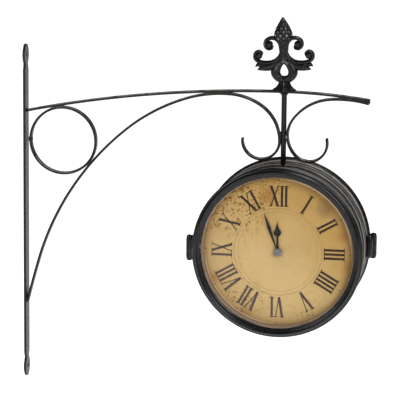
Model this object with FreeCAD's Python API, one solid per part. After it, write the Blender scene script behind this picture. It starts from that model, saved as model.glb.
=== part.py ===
"""Double sided station clock on a scrolled wall bracket.

Millimetres, +Z up. X = 0 is the wall, +X runs out along the arm, Y = 0 is the bracket's middle plane
and Z = 0 the middle of the wall bar. The front dial looks along -Y, the rear dial along +Y.
"""

import FreeCAD, Part
import math
import os

V = FreeCAD.Vector

# ---- wall bar ---------------------------------------------------------------------------------
bar_length = 412.0
bar_width = 16.0
bar_thick = 3.0
pad_length = 26.0          # hammered oval at each end
pad_width = 20.0
neck_width = 11.0
neck_run = 6.0             # the bar narrows to its neck over this length
screw_hole_d = 5.0

# ---- flat strip of the bracket ----------------------------------------------------------------
strip_thick = 3.0
strip_width = 8.0
weld_gap = 0.02            # between the faces of strips that are welded together

# ---- arm: two arcs that meet level at the crest ------------------------------------------------
crest_height = 160.0       # middle of the strip above the wall bar's middle
crest_past_rod = 3.4
arm_inner_r = 1457.0
arm_outer_r = 718.0
arm_reach = 98.8           # from the crest to the arm's free end

# ---- ring --------------------------------------------------------------------------------------
ring_d = 83.6
ring_to_bar = 3.2          # bridged by the weld
ring_weld_d = 6.0
ring_sides = 48            # flats left by the bending

# ---- brace, which runs on into the inner scroll ------------------------------------------------
brace_touch_deg = 3.28     # slope of the arm where the brace lies against it
brace_upper_r = 149.0
brace_upper_deg = 14.9
brace_middle_r = 224.0
brace_middle_deg = 21.8
brace_under_ring_deg = 33.5
brace_foot_r = 1156.0      # nearly straight, cut off at the wall bar
brace_foot_deg = 8.0
scroll_in_deg = 5.6        # the brace's upper arc carries on past the arm
scroll_in_r = 74.1
scroll_in_turn = 30.8
curl_r = 22.3
curl_turn = 186.8

# ---- outer scroll ------------------------------------------------------------------------------
outer_touch_deg = 6.42
outer_tail_deg = 7.7
outer_upper_r = 137.0
outer_upper_deg = 11.9
outer_middle_deg = 48.0
outer_neck_r = 34.3        # nearest the rod
outer_neck_past = 44.0     # the neck's arc carries on this far past the rod
outer_curl_r = 22.1
outer_curl_turn = 153.8

# ---- hanger rod --------------------------------------------------------------------------------
rod_x = 316.4
rod_d = 6.4
rod_sides = 20
flare_d = 12.0
flare_height = 4.0
flare_clear = 0.05         # under the arm's slight curve
stud_d = 4.0               # threaded end of the finial, through the arm into the rod
stud_depth = 9.0
stud_clear = 0.05
swivel_d = 5.0
swivel_clear = 0.05        # radial, where the case turns on the rod
swivel_gap = 0.3           # under the rod's shoulder
washer_d = 15.0
washer_thick = 1.2
nut_flats = 9.0
nut_height = 4.0
nut_count = 2
swivel_tail = 2.0

# ---- finial ------------------------------------------------------------------------------------
foot_half_diagonal = 14.2
foot_neck_half_diagonal = 7.0
foot_height = 10.5
foot_clear = 0.01
finial_thick = 8.0
finial_lean_deg = -2.4     # leans a little towards the wall
bud_r = 11.3
bud_middle = 67.4          # height of the bud's widest place above the arm
bud_low = 59.5
bud_low_r = 6.0
bud_tip = 87.5
bud_sides = 12
upper_curl_r = 8.1
upper_curl_out = 15.5
upper_curl_up = 56.4
side_curl_r = 5.9
side_curl_out = 30.0
side_curl_up = 42.0
roll_width = 11.0          # the rolled ends are wider than the leaf
roll_share = 0.62
waist_half = 5.2
pear_half = 16.2
pear_up = 23.8
eye_r = 4.7
eye_up = 22.1
eye_top = 30.7

# ---- drum case ---------------------------------------------------------------------------------
drum_r = 98.6
drum_half_depth = 29.7
drum_wall = 1.2
bead_rise = 2.2            # ridge round the middle
bead_half = 2.8
band_rise = 1.4            # raised band at each rim
band_width = 5.2
clock_under_curl = 1.4     # between the inner curl and the level of the bezels' ridge
saddle_size = 30.0
saddle_thick = 3.0

# ---- doors: the same parts at the front and the rear -------------------------------------------
door_gap = 0.3             # between the drum's rim and a closed door
skirt_r = 99.8
ridge_r = 102.5
ridge_depth = 9.0
crest_r = 95.0
crest_depth = 13.8
lip_r = 91.5
lip_depth = 12.2
seat_r = 94.75             # bore that holds the glass, the spacer and the dial
seat_clear = 0.15
disc_sides = 48            # flats round the glass and the dial
turn_sides = 72            # flats round the drum and the bezels, under 0.1 mm off a true circle
plate_thick = 0.8
rim_height = 5.7           # the dial's turned-up rim, which carries the glass
rim_wall = 4.2
glass_thick = 2.0
clip_length = 7.0
clip_width = 6.0
clip_thick = 0.8
clip_clear = 0.4
clip_count = 3

# ---- door hinges -------------------------------------------------------------------------------
knuckle_r = 4.0
knuckle_off_ridge = 0.4
knuckle_half = 7.5
knuckle_gap = 0.3
hinge_half_height = 18.0
hinge_taper = 7.0
hinge_seam = 0.35
pin_r = 1.2
pin_clear = 0.05
case_leaf_depth = 14.0
catch_length = 10.0
catch_depth = 6.0
catch_thick = 4.0

# ---- quartz movement ---------------------------------------------------------------------------
move_half = 28.0
move_wall = 1.3
move_front_depth = 8.0
move_back_depth = 8.0
bush_r = 3.5
bush_clear = 0.1
bush_past_nut = 0.2
hub_nut_flats = 8.4
hub_nut_thick = 1.0
battery_r = 7.15
battery_length = 49.0
nub_r = 2.6
nub_length = 1.2
bay_height = 15.3
contact_thick = 0.5
contact_width = 10.0
spring_length = 2.2
spring_r = 3.4
coil_r = 2.8
coil_length = 20.0
board_thick = 0.8

# ---- shafts of the hands -----------------------------------------------------------------------
arbor_r = 1.0
pipe_r = 1.9
pipe_flange_r = 6.0
pipe_flange_thick = 1.4
run_clear = 0.06
end_play = 0.3
knob_z = 9.6               # setting shaft above the hands' shafts
knob_stem_r = 1.6
knob_stem_run = 4.0
knob_r = 5.5
knob_thick = 2.6

# ---- hands -------------------------------------------------------------------------------------
hour_length = 38.0
hour_hub_r = 4.4
minute_length = 50.0
minute_hub_r = 3.6
hand_thick = 0.4
hand_gap = 0.7
minute_deg = -20.0         # clockwise from 12, as the reader sees it
hour_deg = minute_deg / 12.0
cap_r = 4.8
cap_thick = 1.0


# ================================ strips bent from arcs =========================================
def heading(deg):
    return V(math.cos(math.radians(deg)), 0, math.sin(math.radians(deg)))


def side(deg):
    """Unit vector to the left of a heading in the XZ plane."""
    return V(-math.sin(math.radians(deg)), 0, math.cos(math.radians(deg)))


def walk(start, deg, arcs):
    """Follow (radius, turn) pairs; a positive turn is anticlockwise, a radius of None a straight run."""
    runs = []
    point = start
    for radius, turn in arcs:
        if radius is None:
            last = point + heading(deg) * turn
            runs.append((point, None, last, deg, deg))
        else:
            way = 1 if turn > 0 else -1
            centre = point + side(deg) * (way * radius)
            last = centre - side(deg + turn) * (way * radius)
            middle = centre - side(deg + turn / 2) * (way * radius)
            runs.append((point, middle, last, deg, deg + turn))
            deg += turn
        point = last
    return runs, point, deg


def offset_edge(run, shift):
    """One run moved sideways by shift, to the left when positive."""
    first, middle, last, deg_a, deg_b = run
    a = first + side(deg_a) * shift
    b = last + side(deg_b) * shift
    if middle is None:
        return Part.LineSegment(a, b).toShape()
    c = middle + side((deg_a + deg_b) / 2) * shift
    return Part.Arc(a, c, b).toShape()


def strip(start, deg, arcs, thick=strip_thick, width=strip_width, round_start=True, round_end=True):
    """A flat strip on edge: its middle line follows the arcs, its ends are round or square."""
    runs, end, end_deg = walk(start, deg, arcs)
    half = thick / 2
    left = [offset_edge(run, half) for run in runs]
    right = [offset_edge(run, -half) for run in runs]

    def cap(point, at_deg, way, rounded):
        a = point + side(at_deg) * half
        b = point - side(at_deg) * half
        if not rounded:
            return Part.LineSegment(a, b).toShape()
        return Part.Arc(a, point + heading(at_deg) * (way * half), b).toShape()

    edges = left + right + [cap(start, deg, -1, round_start), cap(end, end_deg, 1, round_end)]
    wire = Part.Wire(Part.__sortEdges__(edges))
    solid = Part.Face(wire).extrude(V(0, width, 0))
    solid.translate(V(0, -width / 2, 0))
    return solid


def box(x0, x1, y0, y1, z0, z1):
    return Part.makeBox(x1 - x0, y1 - y0, z1 - z0, V(x0, y0, z0))


def rod(radius, start, end):
    way = end - start
    return Part.makeCylinder(radius, way.Length, start, way)


def bar(radius, start, end, sides=12, hole=False):
    """A small round piece, drawn with few sides: inside its circle, or as a hole outside it."""
    way = end - start
    corner = radius / math.cos(math.pi / sides) if hole else radius
    turn = FreeCAD.Rotation(V(0, 0, 1), way)
    spots = [2 * math.pi * (k + 0.5) / sides for k in range(sides)]
    points = [start + turn.multVec(V(corner * math.cos(t), corner * math.sin(t), 0)) for t in spots]
    return prism(points, way)


def prism(points, depth):
    """A closed outline extruded along depth."""
    return Part.Face(Part.makePolygon(points + points[:1])).extrude(depth)


# ================================ the bracket ===================================================
crest = V(rod_x + crest_past_rod, 0, crest_height)
arm_inner_centre = crest - V(0, 0, arm_inner_r)
arm_outer_centre = crest - V(0, 0, arm_outer_r)


def oval(middle):
    """Closed outline of a pad in the YZ plane: two flat arcs joined by two round ends."""
    half, wide = pad_length / 2, pad_width / 2
    end = half * 0.62
    points = [V(0, wide * 0.72, middle + end), V(0, wide, middle), V(0, wide * 0.72, middle - end)]
    points += [V(0, 0, middle - half), V(0, -wide * 0.72, middle - end), V(0, -wide, middle)]
    points += [V(0, -wide * 0.72, middle + end), V(0, 0, middle + half)]
    points.append(points[0])
    return [Part.Arc(*points[k:k + 3]).toShape() for k in (0, 2, 4, 6)]


def make_wall_bar():
    half = bar_length / 2
    pad_middle = half - pad_length / 2
    neck_at = half - pad_length + 1.0
    right = [V(0, bar_width / 2, neck_at - neck_run), V(0, neck_width / 2, neck_at), V(0, neck_width / 2, pad_middle)]
    left = [V(0, -p.y, p.z) for p in reversed(right)]
    lower = [V(0, p.y, -p.z) for p in reversed(right)]
    lower_left = [V(0, -p.y, -p.z) for p in right]
    piece = prism(right + left + lower_left + lower, V(bar_thick, 0, 0))
    for way in (1, -1):
        piece = piece.fuse(Part.Face(Part.Wire(oval(way * pad_middle))).extrude(V(bar_thick, 0, 0)))
    piece = piece.removeSplitter()
    for way in (1, -1):
        hole = V(-1, 0, way * pad_middle)
        piece = piece.cut(rod(screw_hole_d / 2, hole, hole + V(bar_thick + 2, 0, 0)))
    return piece


def make_top_bar():
    inner_deg = math.degrees(math.asin((crest.x - bar_thick) / arm_inner_r))
    spare = 0.5            # runs past the wall bar's face, then is cut flush
    start_deg = inner_deg + spare
    start = arm_inner_centre + side(start_deg) * arm_inner_r
    outer_deg = math.degrees(math.asin((arm_reach - strip_thick / 2) / arm_outer_r))
    arm = strip(start, start_deg, [(arm_inner_r, -start_deg), (arm_outer_r, -outer_deg)], round_start=False)
    arm = arm.cut(box(-60, bar_thick, -60, 60, 0, 2 * crest_height))
    hole = V(rod_x, 0, crest_height - 10)
    return arm.cut(bar(stud_d / 2 + stud_clear, hole, hole + V(0, 0, 20), hole=True))


def ring_place():
    """Centre of the ring, which hangs against the arm's underside."""
    x = bar_thick + ring_to_bar + ring_d / 2
    reach = arm_inner_r - strip_thick / 2 - weld_gap - ring_d / 2
    return V(x, 0, arm_inner_centre.z + math.sqrt(reach ** 2 - (x - arm_inner_centre.x) ** 2))


def make_ring():
    centre = ring_place()
    back = V(0, strip_width / 2, 0)
    outer = bar(ring_d / 2, centre - back, centre + back, ring_sides)
    inner = bar(ring_d / 2 - strip_thick, centre - back * 2, centre + back * 2, ring_sides)
    left = centre.x - ring_d / 2 + strip_thick / 2
    weld = bar(ring_weld_d / 2, V(bar_thick, 0, centre.z), V(left, 0, centre.z))
    return outer.fuse(weld).cut(inner).removeSplitter()


def tangent_radius(point, deg, centre, reach):
    """Radius of the arc that leaves a point, turns to its left and just meets a circle on its right."""
    across = side(deg)
    away = point - centre
    return (reach ** 2 - away.dot(away)) / (2 * (away.dot(across) - reach))


def closing_radius(run, first_deg, last_deg):
    """Radius that covers a horizontal run while turning between two slopes."""
    return run / (math.sin(math.radians(first_deg)) - math.sin(math.radians(last_deg)))


def arc_run(radius, first_deg, last_deg):
    return radius * (math.sin(math.radians(first_deg)) - math.sin(math.radians(last_deg)))


def brace_paths():
    """Both halves of the brace from where it touches the arm: round to the curl, and down to the wall."""
    touch = arm_inner_centre + side(brace_touch_deg) * (arm_inner_r - strip_thick - weld_gap)
    rod_side = rod_x - rod_d / 2 - strip_thick / 2 - weld_gap
    first = brace_touch_deg - scroll_in_deg
    second = first - scroll_in_turn
    run = rod_side - touch.x
    run -= arc_run(brace_upper_r, brace_touch_deg, first) + arc_run(scroll_in_r, first, second)
    neck_r = closing_radius(run, second, -90)
    inward = [(brace_upper_r, -scroll_in_deg), (scroll_in_r, -scroll_in_turn), (neck_r, -90 - second)]
    inward += [(curl_r, -curl_turn)]
    outward = [(brace_upper_r, brace_upper_deg), (brace_middle_r, brace_middle_deg)]
    _, joint, deg = walk(touch, brace_touch_deg + 180, outward)
    reach = ring_d / 2 + strip_thick / 2 + weld_gap
    under_ring_r = tangent_radius(joint, deg, ring_place(), reach)
    outward += [(under_ring_r, brace_under_ring_deg), (brace_foot_r, brace_foot_deg)]
    return touch, inward, outward


def make_brace_scroll():
    touch, inward, outward = brace_paths()
    curl = strip(touch, brace_touch_deg, inward, round_start=False)
    brace = strip(touch, brace_touch_deg + 180, outward, round_start=False, round_end=False)
    brace = brace.cut(box(-300, bar_thick, -60, 60, -bar_length, bar_length))
    return curl.fuse(brace).removeSplitter()


def outer_paths():
    """The outer scroll from where it leaves the arm: its short tail, and round to its curl."""
    touch = arm_outer_centre + side(-outer_touch_deg) * (arm_outer_r - strip_thick - weld_gap)
    rod_side = rod_x + rod_d / 2 + strip_thick / 2 + weld_gap
    first = outer_touch_deg - outer_upper_deg
    second = first - outer_middle_deg
    run = touch.x - rod_side
    run -= arc_run(outer_upper_r, outer_touch_deg, first) + arc_run(outer_neck_r, second, -90)
    middle_r = closing_radius(run, first, second)
    inward = [(outer_upper_r, outer_upper_deg), (middle_r, outer_middle_deg)]
    inward += [(outer_neck_r, 90 + second + outer_neck_past), (outer_curl_r, outer_curl_turn)]
    return touch, [(outer_upper_r, -outer_tail_deg)], inward


def make_outer_scroll():
    touch, tail, inward = outer_paths()
    curl = strip(touch, 180 - outer_touch_deg, inward, round_start=False)
    end = strip(touch, -outer_touch_deg, tail, round_start=False)
    return curl.fuse(end).removeSplitter()


# ---- levels that follow from the bracket -------------------------------------------------------
def lowest_of(start, deg, arcs):
    """Lowest point of a strip whose last arcs curl upwards."""
    runs, _, _ = walk(start, deg, arcs)
    low = 1e9
    for first, middle, last, deg_a, deg_b in runs:
        for share in range(41):
            turn = deg_a + (deg_b - deg_a) * share / 40
            if middle is None:
                continue
            way = 1 if deg_b > deg_a else -1
            radius = (last - first).Length / (2 * math.sin(math.radians(abs(deg_b - deg_a)) / 2))
            centre = first + side(deg_a) * (way * radius)
            low = min(low, (centre - side(turn) * (way * radius)).z)
    return low - strip_thick / 2


def clock_height():
    touch, inward, _ = brace_paths()
    return round(lowest_of(touch, brace_touch_deg, inward) - clock_under_curl - ridge_r, 2)


clock_z = clock_height()
bead_r = drum_r + bead_rise
drum_inner_r = drum_r - drum_wall
seam = drum_half_depth + door_gap
rod_foot = clock_z + bead_r + swivel_gap
saddle_foot = clock_z + drum_inner_r - saddle_thick
nut_top = saddle_foot - washer_thick


def make_hanger_rod():
    top = crest_height - strip_thick / 2 - flare_clear
    shaft = stack([(rod_foot, rod_d / 2), (top - flare_height, rod_d / 2), (top, flare_d / 2)], rod_sides)
    shaft.translate(V(rod_x, 0, 0))
    tail = nut_top - nut_count * nut_height - swivel_tail
    swivel = bar(swivel_d / 2, V(rod_x, 0, tail), V(rod_x, 0, rod_foot + 0.5), 16)
    bore = bar(stud_d / 2 + stud_clear, V(rod_x, 0, top - stud_depth), V(rod_x, 0, top + 1), hole=True)
    return shaft.fuse(swivel).cut(bore).removeSplitter()


def swivel_hole(low, high):
    return bar(swivel_d / 2 + swivel_clear, V(rod_x, 0, low), V(rod_x, 0, high), 16, hole=True)


def make_swivel_washer():
    washer = bar(washer_d / 2, V(rod_x, 0, nut_top), V(rod_x, 0, saddle_foot), 20)
    return washer.cut(swivel_hole(nut_top - 1, saddle_foot + 1))


def hexagon(flats, centre, across, up):
    """Closed hexagon about a centre, in the plane of two directions."""
    corner = flats / 2 / math.cos(math.radians(30))
    turns = [math.radians(60 * k) for k in range(6)]
    return [centre + across * (corner * math.cos(t)) + up * (corner * math.sin(t)) for t in turns]


def make_swivel_nuts():
    nuts = []
    for k in range(nut_count):
        low = nut_top - (k + 1) * nut_height
        nut = prism(hexagon(nut_flats, V(rod_x, 0, low), V(1, 0, 0), V(0, 1, 0)), V(0, 0, nut_height))
        nuts.append(nut.cut(bar(swivel_d / 2, V(rod_x, 0, low - 1), V(rod_x, 0, low + nut_height + 1), 16, hole=True)))
    return Part.makeCompound(nuts)


# ================================ finial ========================================================
def arc3(a, b, c):
    return Part.Arc(V(*a), V(*b), V(*c)).toShape()


def line(a, b):
    return Part.LineSegment(V(*a), V(*b)).toShape()


def plate_of(edges, thick):
    """A closed run of edges in the XZ plane, made a plate centred on Y = 0."""
    solid = Part.Face(Part.Wire(Part.__sortEdges__(edges))).extrude(V(0, thick, 0))
    solid.translate(V(0, -thick / 2, 0))
    return solid


def finial_half():
    """Right half of the cast leaf: pear, side leaf and stem, from the foot's neck up to the bud."""
    neck = foot_neck_half_diagonal
    leaf_top = side_curl_up - side_curl_r
    tip_out = side_curl_out + 1.3
    tip_up = pear_up + 0.6
    shoulder = (pear_half, 0, pear_up + 1.6)
    outline = [
        line((0, 0, foot_height - 1), (neck, 0, foot_height - 1)),
        arc3((neck, 0, foot_height - 1), (pear_half - 2.4, 0, pear_up - 6.5), shoulder),
        arc3(shoulder, (pear_half + 7, 0, pear_up - 0.2), (tip_out - 4, 0, tip_up + 1.4)),
        line((tip_out - 4, 0, tip_up + 1.4), (tip_out, 0, tip_up)),
        line((tip_out, 0, tip_up), (tip_out - 0.4, 0, tip_up + 4.5)),
        arc3((tip_out - 0.4, 0, tip_up + 4.5), (side_curl_out + 4.6, 0, side_curl_up - 7),
             (side_curl_out + side_curl_r, 0, side_curl_up)),
        arc3((side_curl_out + side_curl_r, 0, side_curl_up), (side_curl_out, 0, side_curl_up + side_curl_r),
             (side_curl_out - side_curl_r, 0, side_curl_up)),
        arc3((side_curl_out - side_curl_r, 0, side_curl_up), (side_curl_out - 4.6, 0, side_curl_up - 3.6),
             (side_curl_out - 5.6, 0, leaf_top)),
        arc3((side_curl_out - 5.6, 0, leaf_top), (waist_half + 6, 0, leaf_top + 2.5), (waist_half, 0, leaf_top + 11)),
        arc3((waist_half, 0, leaf_top + 11), (waist_half + 0.9, 0, upper_curl_up - 2.2),
             (upper_curl_out - upper_curl_r + 1.2, 0, upper_curl_up + 1)),
        line((upper_curl_out - upper_curl_r + 1.2, 0, upper_curl_up + 1), (upper_curl_out - 3, 0, upper_curl_up + 6)),
        line((upper_curl_out - 3, 0, upper_curl_up + 6), (0, 0, bud_low + 1)),
        line((0, 0, bud_low + 1), (0, 0, foot_height - 1)),
    ]
    return plate_of(outline, finial_thick)


def roll(out, up, radius, width):
    return bar(radius, V(out, -width / 2, up), V(out, width / 2, up), 14)


def make_finial():
    half = finial_half()
    for out, up, radius in ((upper_curl_out, upper_curl_up, upper_curl_r), (side_curl_out, side_curl_up, side_curl_r)):
        half = half.fuse(roll(out, up, radius, finial_thick))
        half = half.fuse(roll(out, up - radius * 0.15, radius * roll_share, roll_width))
    leaf = half.fuse(half.mirror(V(0, 0, 0), V(1, 0, 0)))
    eye = [arc3((-eye_r, 0, eye_up), (0, 0, eye_up - eye_r), (eye_r, 0, eye_up)),
           line((eye_r, 0, eye_up), (0, 0, eye_top)), line((0, 0, eye_top), (-eye_r, 0, eye_up))]
    leaf = leaf.cut(plate_of(eye, 2 * finial_thick))
    profile = [(bud_low, bud_low_r), (bud_middle, bud_r), (bud_middle + 9, bud_r * 0.68), (bud_tip, 0.6)]
    bud = stack(profile, bud_sides)
    leaf = leaf.fuse(bud).removeSplitter()
    leaf.rotate(V(0, 0, foot_height), V(0, 1, 0), finial_lean_deg)
    foot = stack([(0, foot_half_diagonal), (foot_height, foot_neck_half_diagonal)], 4)
    shape = leaf.fuse(foot)
    level = crest_height + strip_thick / 2 + foot_clear
    shape.translate(V(rod_x, 0, level))
    foot_stud = bar(stud_d / 2, V(rod_x, 0, crest_height - strip_thick / 2 - stud_depth + 1), V(rod_x, 0, level + 2))
    return shape.fuse(foot_stud).removeSplitter()


def stack(profile, sides):
    """Faceted solid through (height, radius) rings of a regular polygon."""
    spots = [2 * math.pi * k / sides for k in range(sides)]
    rings = [[V(r * math.cos(t), r * math.sin(t), up) for t in spots] for up, r in profile]
    faces = [Part.Face(Part.makePolygon(ring + ring[:1])) for ring in (rings[0], rings[-1])]
    for low, high in zip(rings, rings[1:]):
        for k in range(sides):
            quad = [low[k - 1], low[k], high[k], high[k - 1]]
            faces.append(Part.Face(Part.makePolygon(quad + quad[:1])))
    return Part.makeSolid(Part.makeShell(faces))


# ================================ pieces of a door ==============================================
# Built round the dial's middle: x to the reader's right, z up, depth towards the reader (-y), with
# depth 0 at the door's back. front() and rear() put them in their places.
def front(shape):
    placed = shape.copy()
    placed.translate(V(rod_x, -seam, clock_z))
    return placed


def rear(shape):
    placed = front(shape)
    placed.rotate(V(rod_x, 0, 0), V(0, 0, 1), 180)
    return placed


def turned(points):
    """A closed (radius, depth) outline turned about the dial's axis, one flat for every five degrees."""
    spots = [2 * math.pi * (k + 0.5) / turn_sides for k in range(turn_sides)]
    rings = [[V(r * math.cos(t), -depth, r * math.sin(t)) for t in spots] for r, depth in points]
    faces = []
    for low, high in zip(rings, rings[1:] + rings[:1]):
        for k in range(turn_sides):
            quad = [low[k - 1], low[k], high[k], high[k - 1]]
            faces.append(Part.Face(Part.makePolygon(quad + quad[:1])))
    return Part.makeSolid(Part.makeShell(faces))


def disc(radius, low, high, z=0.0):
    return Part.makeCylinder(radius, high - low, V(0, -low, z), V(0, -1, 0))


def peg(radius, low, high, z=0.0, hole=False, sides=12):
    """A small turned piece along the dial's axis."""
    return bar(radius, V(0, -low, z), V(0, -high, z), sides, hole)


def block(x0, x1, z0, z1, low, high):
    return Part.makeBox(x1 - x0, high - low, z1 - z0, V(x0, -high, z0))


def slab(points, low, high):
    return prism([V(x, -low, z) for x, z in points], V(0, low - high, 0))


plate_top = plate_thick
rim_top = plate_top + rim_height
glass_top = rim_top + glass_thick
disc_r = seat_r - seat_clear


def make_bezel():
    return turned([(seat_r, 0), (skirt_r, 0), (ridge_r, ridge_depth), (crest_r, crest_depth),
                   (lip_r, lip_depth), (lip_r, glass_top), (seat_r, glass_top)])


def make_glass():
    return peg(disc_r, rim_top, glass_top, sides=disc_sides)


def make_dial():
    """Shallow pan: a flat face inside a turned-up rim."""
    pan = peg(disc_r, 0, rim_top, sides=disc_sides)
    pan = pan.cut(peg(disc_r - rim_wall, plate_top, rim_top + 1, sides=disc_sides))
    return pan.cut(peg(bush_r + bush_clear, -1, plate_top + 1, hole=True, sides=16))


def make_dial_clips():
    outer = drum_inner_r - clip_clear
    clips = []
    for k in range(clip_count):
        clip = block(outer - clip_length, outer, -clip_width / 2, clip_width / 2, -clip_thick, 0)
        clip.rotate(V(0, 0, 0), V(0, 1, 0), -90 - 360 * k / clip_count)
        clips.append(clip)
    return Part.makeCompound(clips)


# ---- hinge -------------------------------------------------------------------------------------
hinge_x = -(ridge_r + knuckle_off_ridge + knuckle_r)


def knuckle(low, high, radius=knuckle_r, hole=False):
    return bar(radius, V(hinge_x, 0, low), V(hinge_x, 0, high), 12, hole)


def leaf_plate(outline):
    """(x, depth) outline of a hinge leaf, drawn out to the hinge's full height."""
    points = [V(x, -depth, -hinge_half_height) for x, depth in outline]
    return prism(points, V(0, 0, 2 * hinge_half_height))


def taper_ends(shape):
    """The leaf's ends fall back towards the case."""
    far = hinge_x - knuckle_r - 1
    near = hinge_x + knuckle_r
    high = hinge_half_height
    for way in (1, -1):
        wedge = [V(near, -30, way * high), V(far, -30, way * (high - hinge_taper)), V(far, -30, way * (high + 1)),
                 V(near, -30, way * (high + 1))]
        shape = shape.cut(prism(wedge, V(0, 60, 0)))
    return shape


def make_door_leaf():
    edge = -(skirt_r - 3)
    face = ridge_depth - 1
    plate = leaf_plate([(hinge_x, hinge_seam), (edge, hinge_seam), (edge, face), (-ridge_r, face),
                        (hinge_x - knuckle_r * 0.72, knuckle_r * 0.62)])
    middle = knuckle_half + knuckle_gap
    plate = plate.cut(knuckle(-middle, middle, knuckle_r + hinge_seam, True))
    plate = plate.fuse(knuckle(middle, hinge_half_height)).fuse(knuckle(-hinge_half_height, -middle))
    skirt = turned([(seat_r, 0), (skirt_r, 0), (ridge_r, ridge_depth), (seat_r, ridge_depth)])
    plate = plate.cut(skirt).cut(knuckle(-99, 99, pin_r + pin_clear, True))
    return taper_ends(plate)


def drum_wall_solid():
    """The rolled and beaded wall of the drum, about the clock's axis in the bracket's middle plane."""
    rim = drum_half_depth
    band = rim - band_width
    top = drum_r + band_rise
    half = [(drum_r, bead_half), (drum_r, band), (top, rim)]
    outline = [(drum_inner_r, -rim)] + [(r, -y) for r, y in reversed(half)] + [(bead_r, 0)]
    solid = turned(outline + half + [(drum_inner_r, rim)])
    solid.translate(V(rod_x, 0, clock_z))
    return solid


def drum_inside():
    """The hollow of the drum, from seam to seam."""
    return bar(drum_inner_r, V(rod_x, -seam, clock_z), V(rod_x, seam, clock_z), turn_sides)


def make_case_leaf():
    """The leaf on the drum, in the door's coordinates."""
    plate = leaf_plate([(hinge_x, -hinge_seam), (-drum_r + 6, -hinge_seam), (-drum_r + 6, -case_leaf_depth),
                        (-bead_r - 0.8, -case_leaf_depth), (hinge_x - knuckle_r * 0.72, -knuckle_r * 0.62)])
    for low, high in ((knuckle_half, 99), (-99, -knuckle_half)):
        plate = plate.cut(knuckle(low, high, knuckle_r + hinge_seam, True))
    plate = plate.fuse(knuckle(-knuckle_half, knuckle_half)).cut(knuckle(-99, 99, pin_r + pin_clear, True))
    wall = drum_wall_solid()
    wall.translate(V(-rod_x, seam, -clock_z))
    hollow = peg(drum_inner_r, -2 * seam, 0, sides=turn_sides)
    return taper_ends(plate.cut(wall).cut(hollow))


def make_hinge_pin():
    high = hinge_half_height - hinge_taper / 2
    return rod(pin_r, V(hinge_x, 0, -high), V(hinge_x, 0, high))


def make_catch():
    """Magnet block on the drum's inner wall, opposite the hinge."""
    reach = math.sqrt(drum_inner_r ** 2 - (catch_length / 2) ** 2)
    catch = block(reach - catch_thick, reach + 2, -catch_length / 2, catch_length / 2, -catch_depth - door_gap, -door_gap - 0.1)
    return catch.common(peg(drum_inner_r, -40, 0, sides=turn_sides))


def make_drum_shell():
    return drum_wall_solid().cut(swivel_hole(clock_z, clock_z + bead_r + 1))


def make_saddle_plate():
    half = saddle_size / 2
    plate = box(rod_x - half, rod_x + half, -half, half, saddle_foot, clock_z + drum_r)
    return plate.common(drum_inside()).cut(swivel_hole(0, clock_z + bead_r))


# ---- movement ----------------------------------------------------------------------------------
move_back = -move_front_depth - move_back_depth
inner_half = move_half - move_wall
bay_low = -inner_half
bay_high = bay_low + bay_height
shelf = bay_high + move_wall
nut_low = plate_top
bush_top = nut_low + hub_nut_thick + bush_past_nut
floor = -move_wall
flange_low = floor - end_play - pipe_flange_thick
hour_hand_low = bush_top + end_play
hour_hand_top = hour_hand_low + hand_thick
minute_hand_low = hour_hand_top + hand_gap
minute_hand_top = minute_hand_low + hand_thick


def make_movement_front():
    shell = block(-move_half, move_half, -move_half, move_half, -move_front_depth, 0)
    shell = shell.cut(block(-inner_half, inner_half, shelf, inner_half, -move_front_depth - 1, floor))
    shell = shell.cut(block(-inner_half, inner_half, bay_low, bay_high, -move_front_depth - 1, floor))
    shell = shell.fuse(peg(bush_r, -1, bush_top, sides=16))
    return shell.cut(peg(pipe_r + run_clear, -20, 20, hole=True)).removeSplitter()


def make_movement_back():
    inner_floor = move_back + move_wall
    shell = block(-move_half, move_half, -move_half, move_half, move_back, -move_front_depth)
    shell = shell.cut(block(-inner_half, inner_half, shelf, inner_half, inner_floor, -move_front_depth + 1))
    shell = shell.cut(block(-inner_half, inner_half, bay_low, bay_high, move_back - 1, -move_front_depth + 1))
    shell = shell.fuse(peg(arbor_r + run_clear + 1, inner_floor - 0.5, inner_floor + 2))
    shell = shell.cut(peg(arbor_r + run_clear, inner_floor, 0, hole=True))
    return shell.cut(peg(knob_stem_r + run_clear, move_back - 1, 0, knob_z, True)).removeSplitter()


def make_step_motor():
    left = -inner_half + 1
    right = -(pipe_flange_r + 2)
    board = block(left, right, shelf + 2, inner_half - 2, floor - board_thick, floor)
    low = shelf + 4
    middle = (left + right) / 2
    depth = floor - board_thick - coil_r
    coil = bar(coil_r, V(middle, -depth, low + 1), V(middle, -depth, low + 3 + coil_length))
    ends = [block(middle - 4, middle + 4, z, z + 2, depth - coil_r - 0.5, floor - board_thick / 2)
            for z in (low, low + coil_length + 2)]
    return board.fuse(coil).fuse(ends[0]).fuse(ends[1]).removeSplitter()


battery_z = bay_low + bay_height / 2
battery_depth = floor - battery_r - 0.15
plus_end = inner_half - contact_thick


def make_battery():
    can_end = plus_end - nub_length - 0.02
    can = bar(battery_r, V(can_end - battery_length, -battery_depth, battery_z), V(can_end, -battery_depth, battery_z), 24)
    nub = bar(nub_r, V(can_end, -battery_depth, battery_z), V(can_end + nub_length, -battery_depth, battery_z))
    return can.fuse(nub).removeSplitter()


def make_battery_contacts():
    half = contact_width / 2
    plus = block(plus_end, inner_half, battery_z - half, battery_z + half, battery_depth - half, battery_depth + half)
    minus = block(-inner_half, -inner_half + contact_thick, battery_z - half, battery_z + half,
                  battery_depth - half, battery_depth + half)
    start = -inner_half + contact_thick
    can_start = plus_end - nub_length - 0.02 - battery_length
    length = can_start - start - 0.02
    spring = bar(spring_r, V(start, -battery_depth, battery_z), V(start + length, -battery_depth, battery_z))
    return Part.makeCompound([plus, minus.fuse(spring).removeSplitter()])


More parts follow.
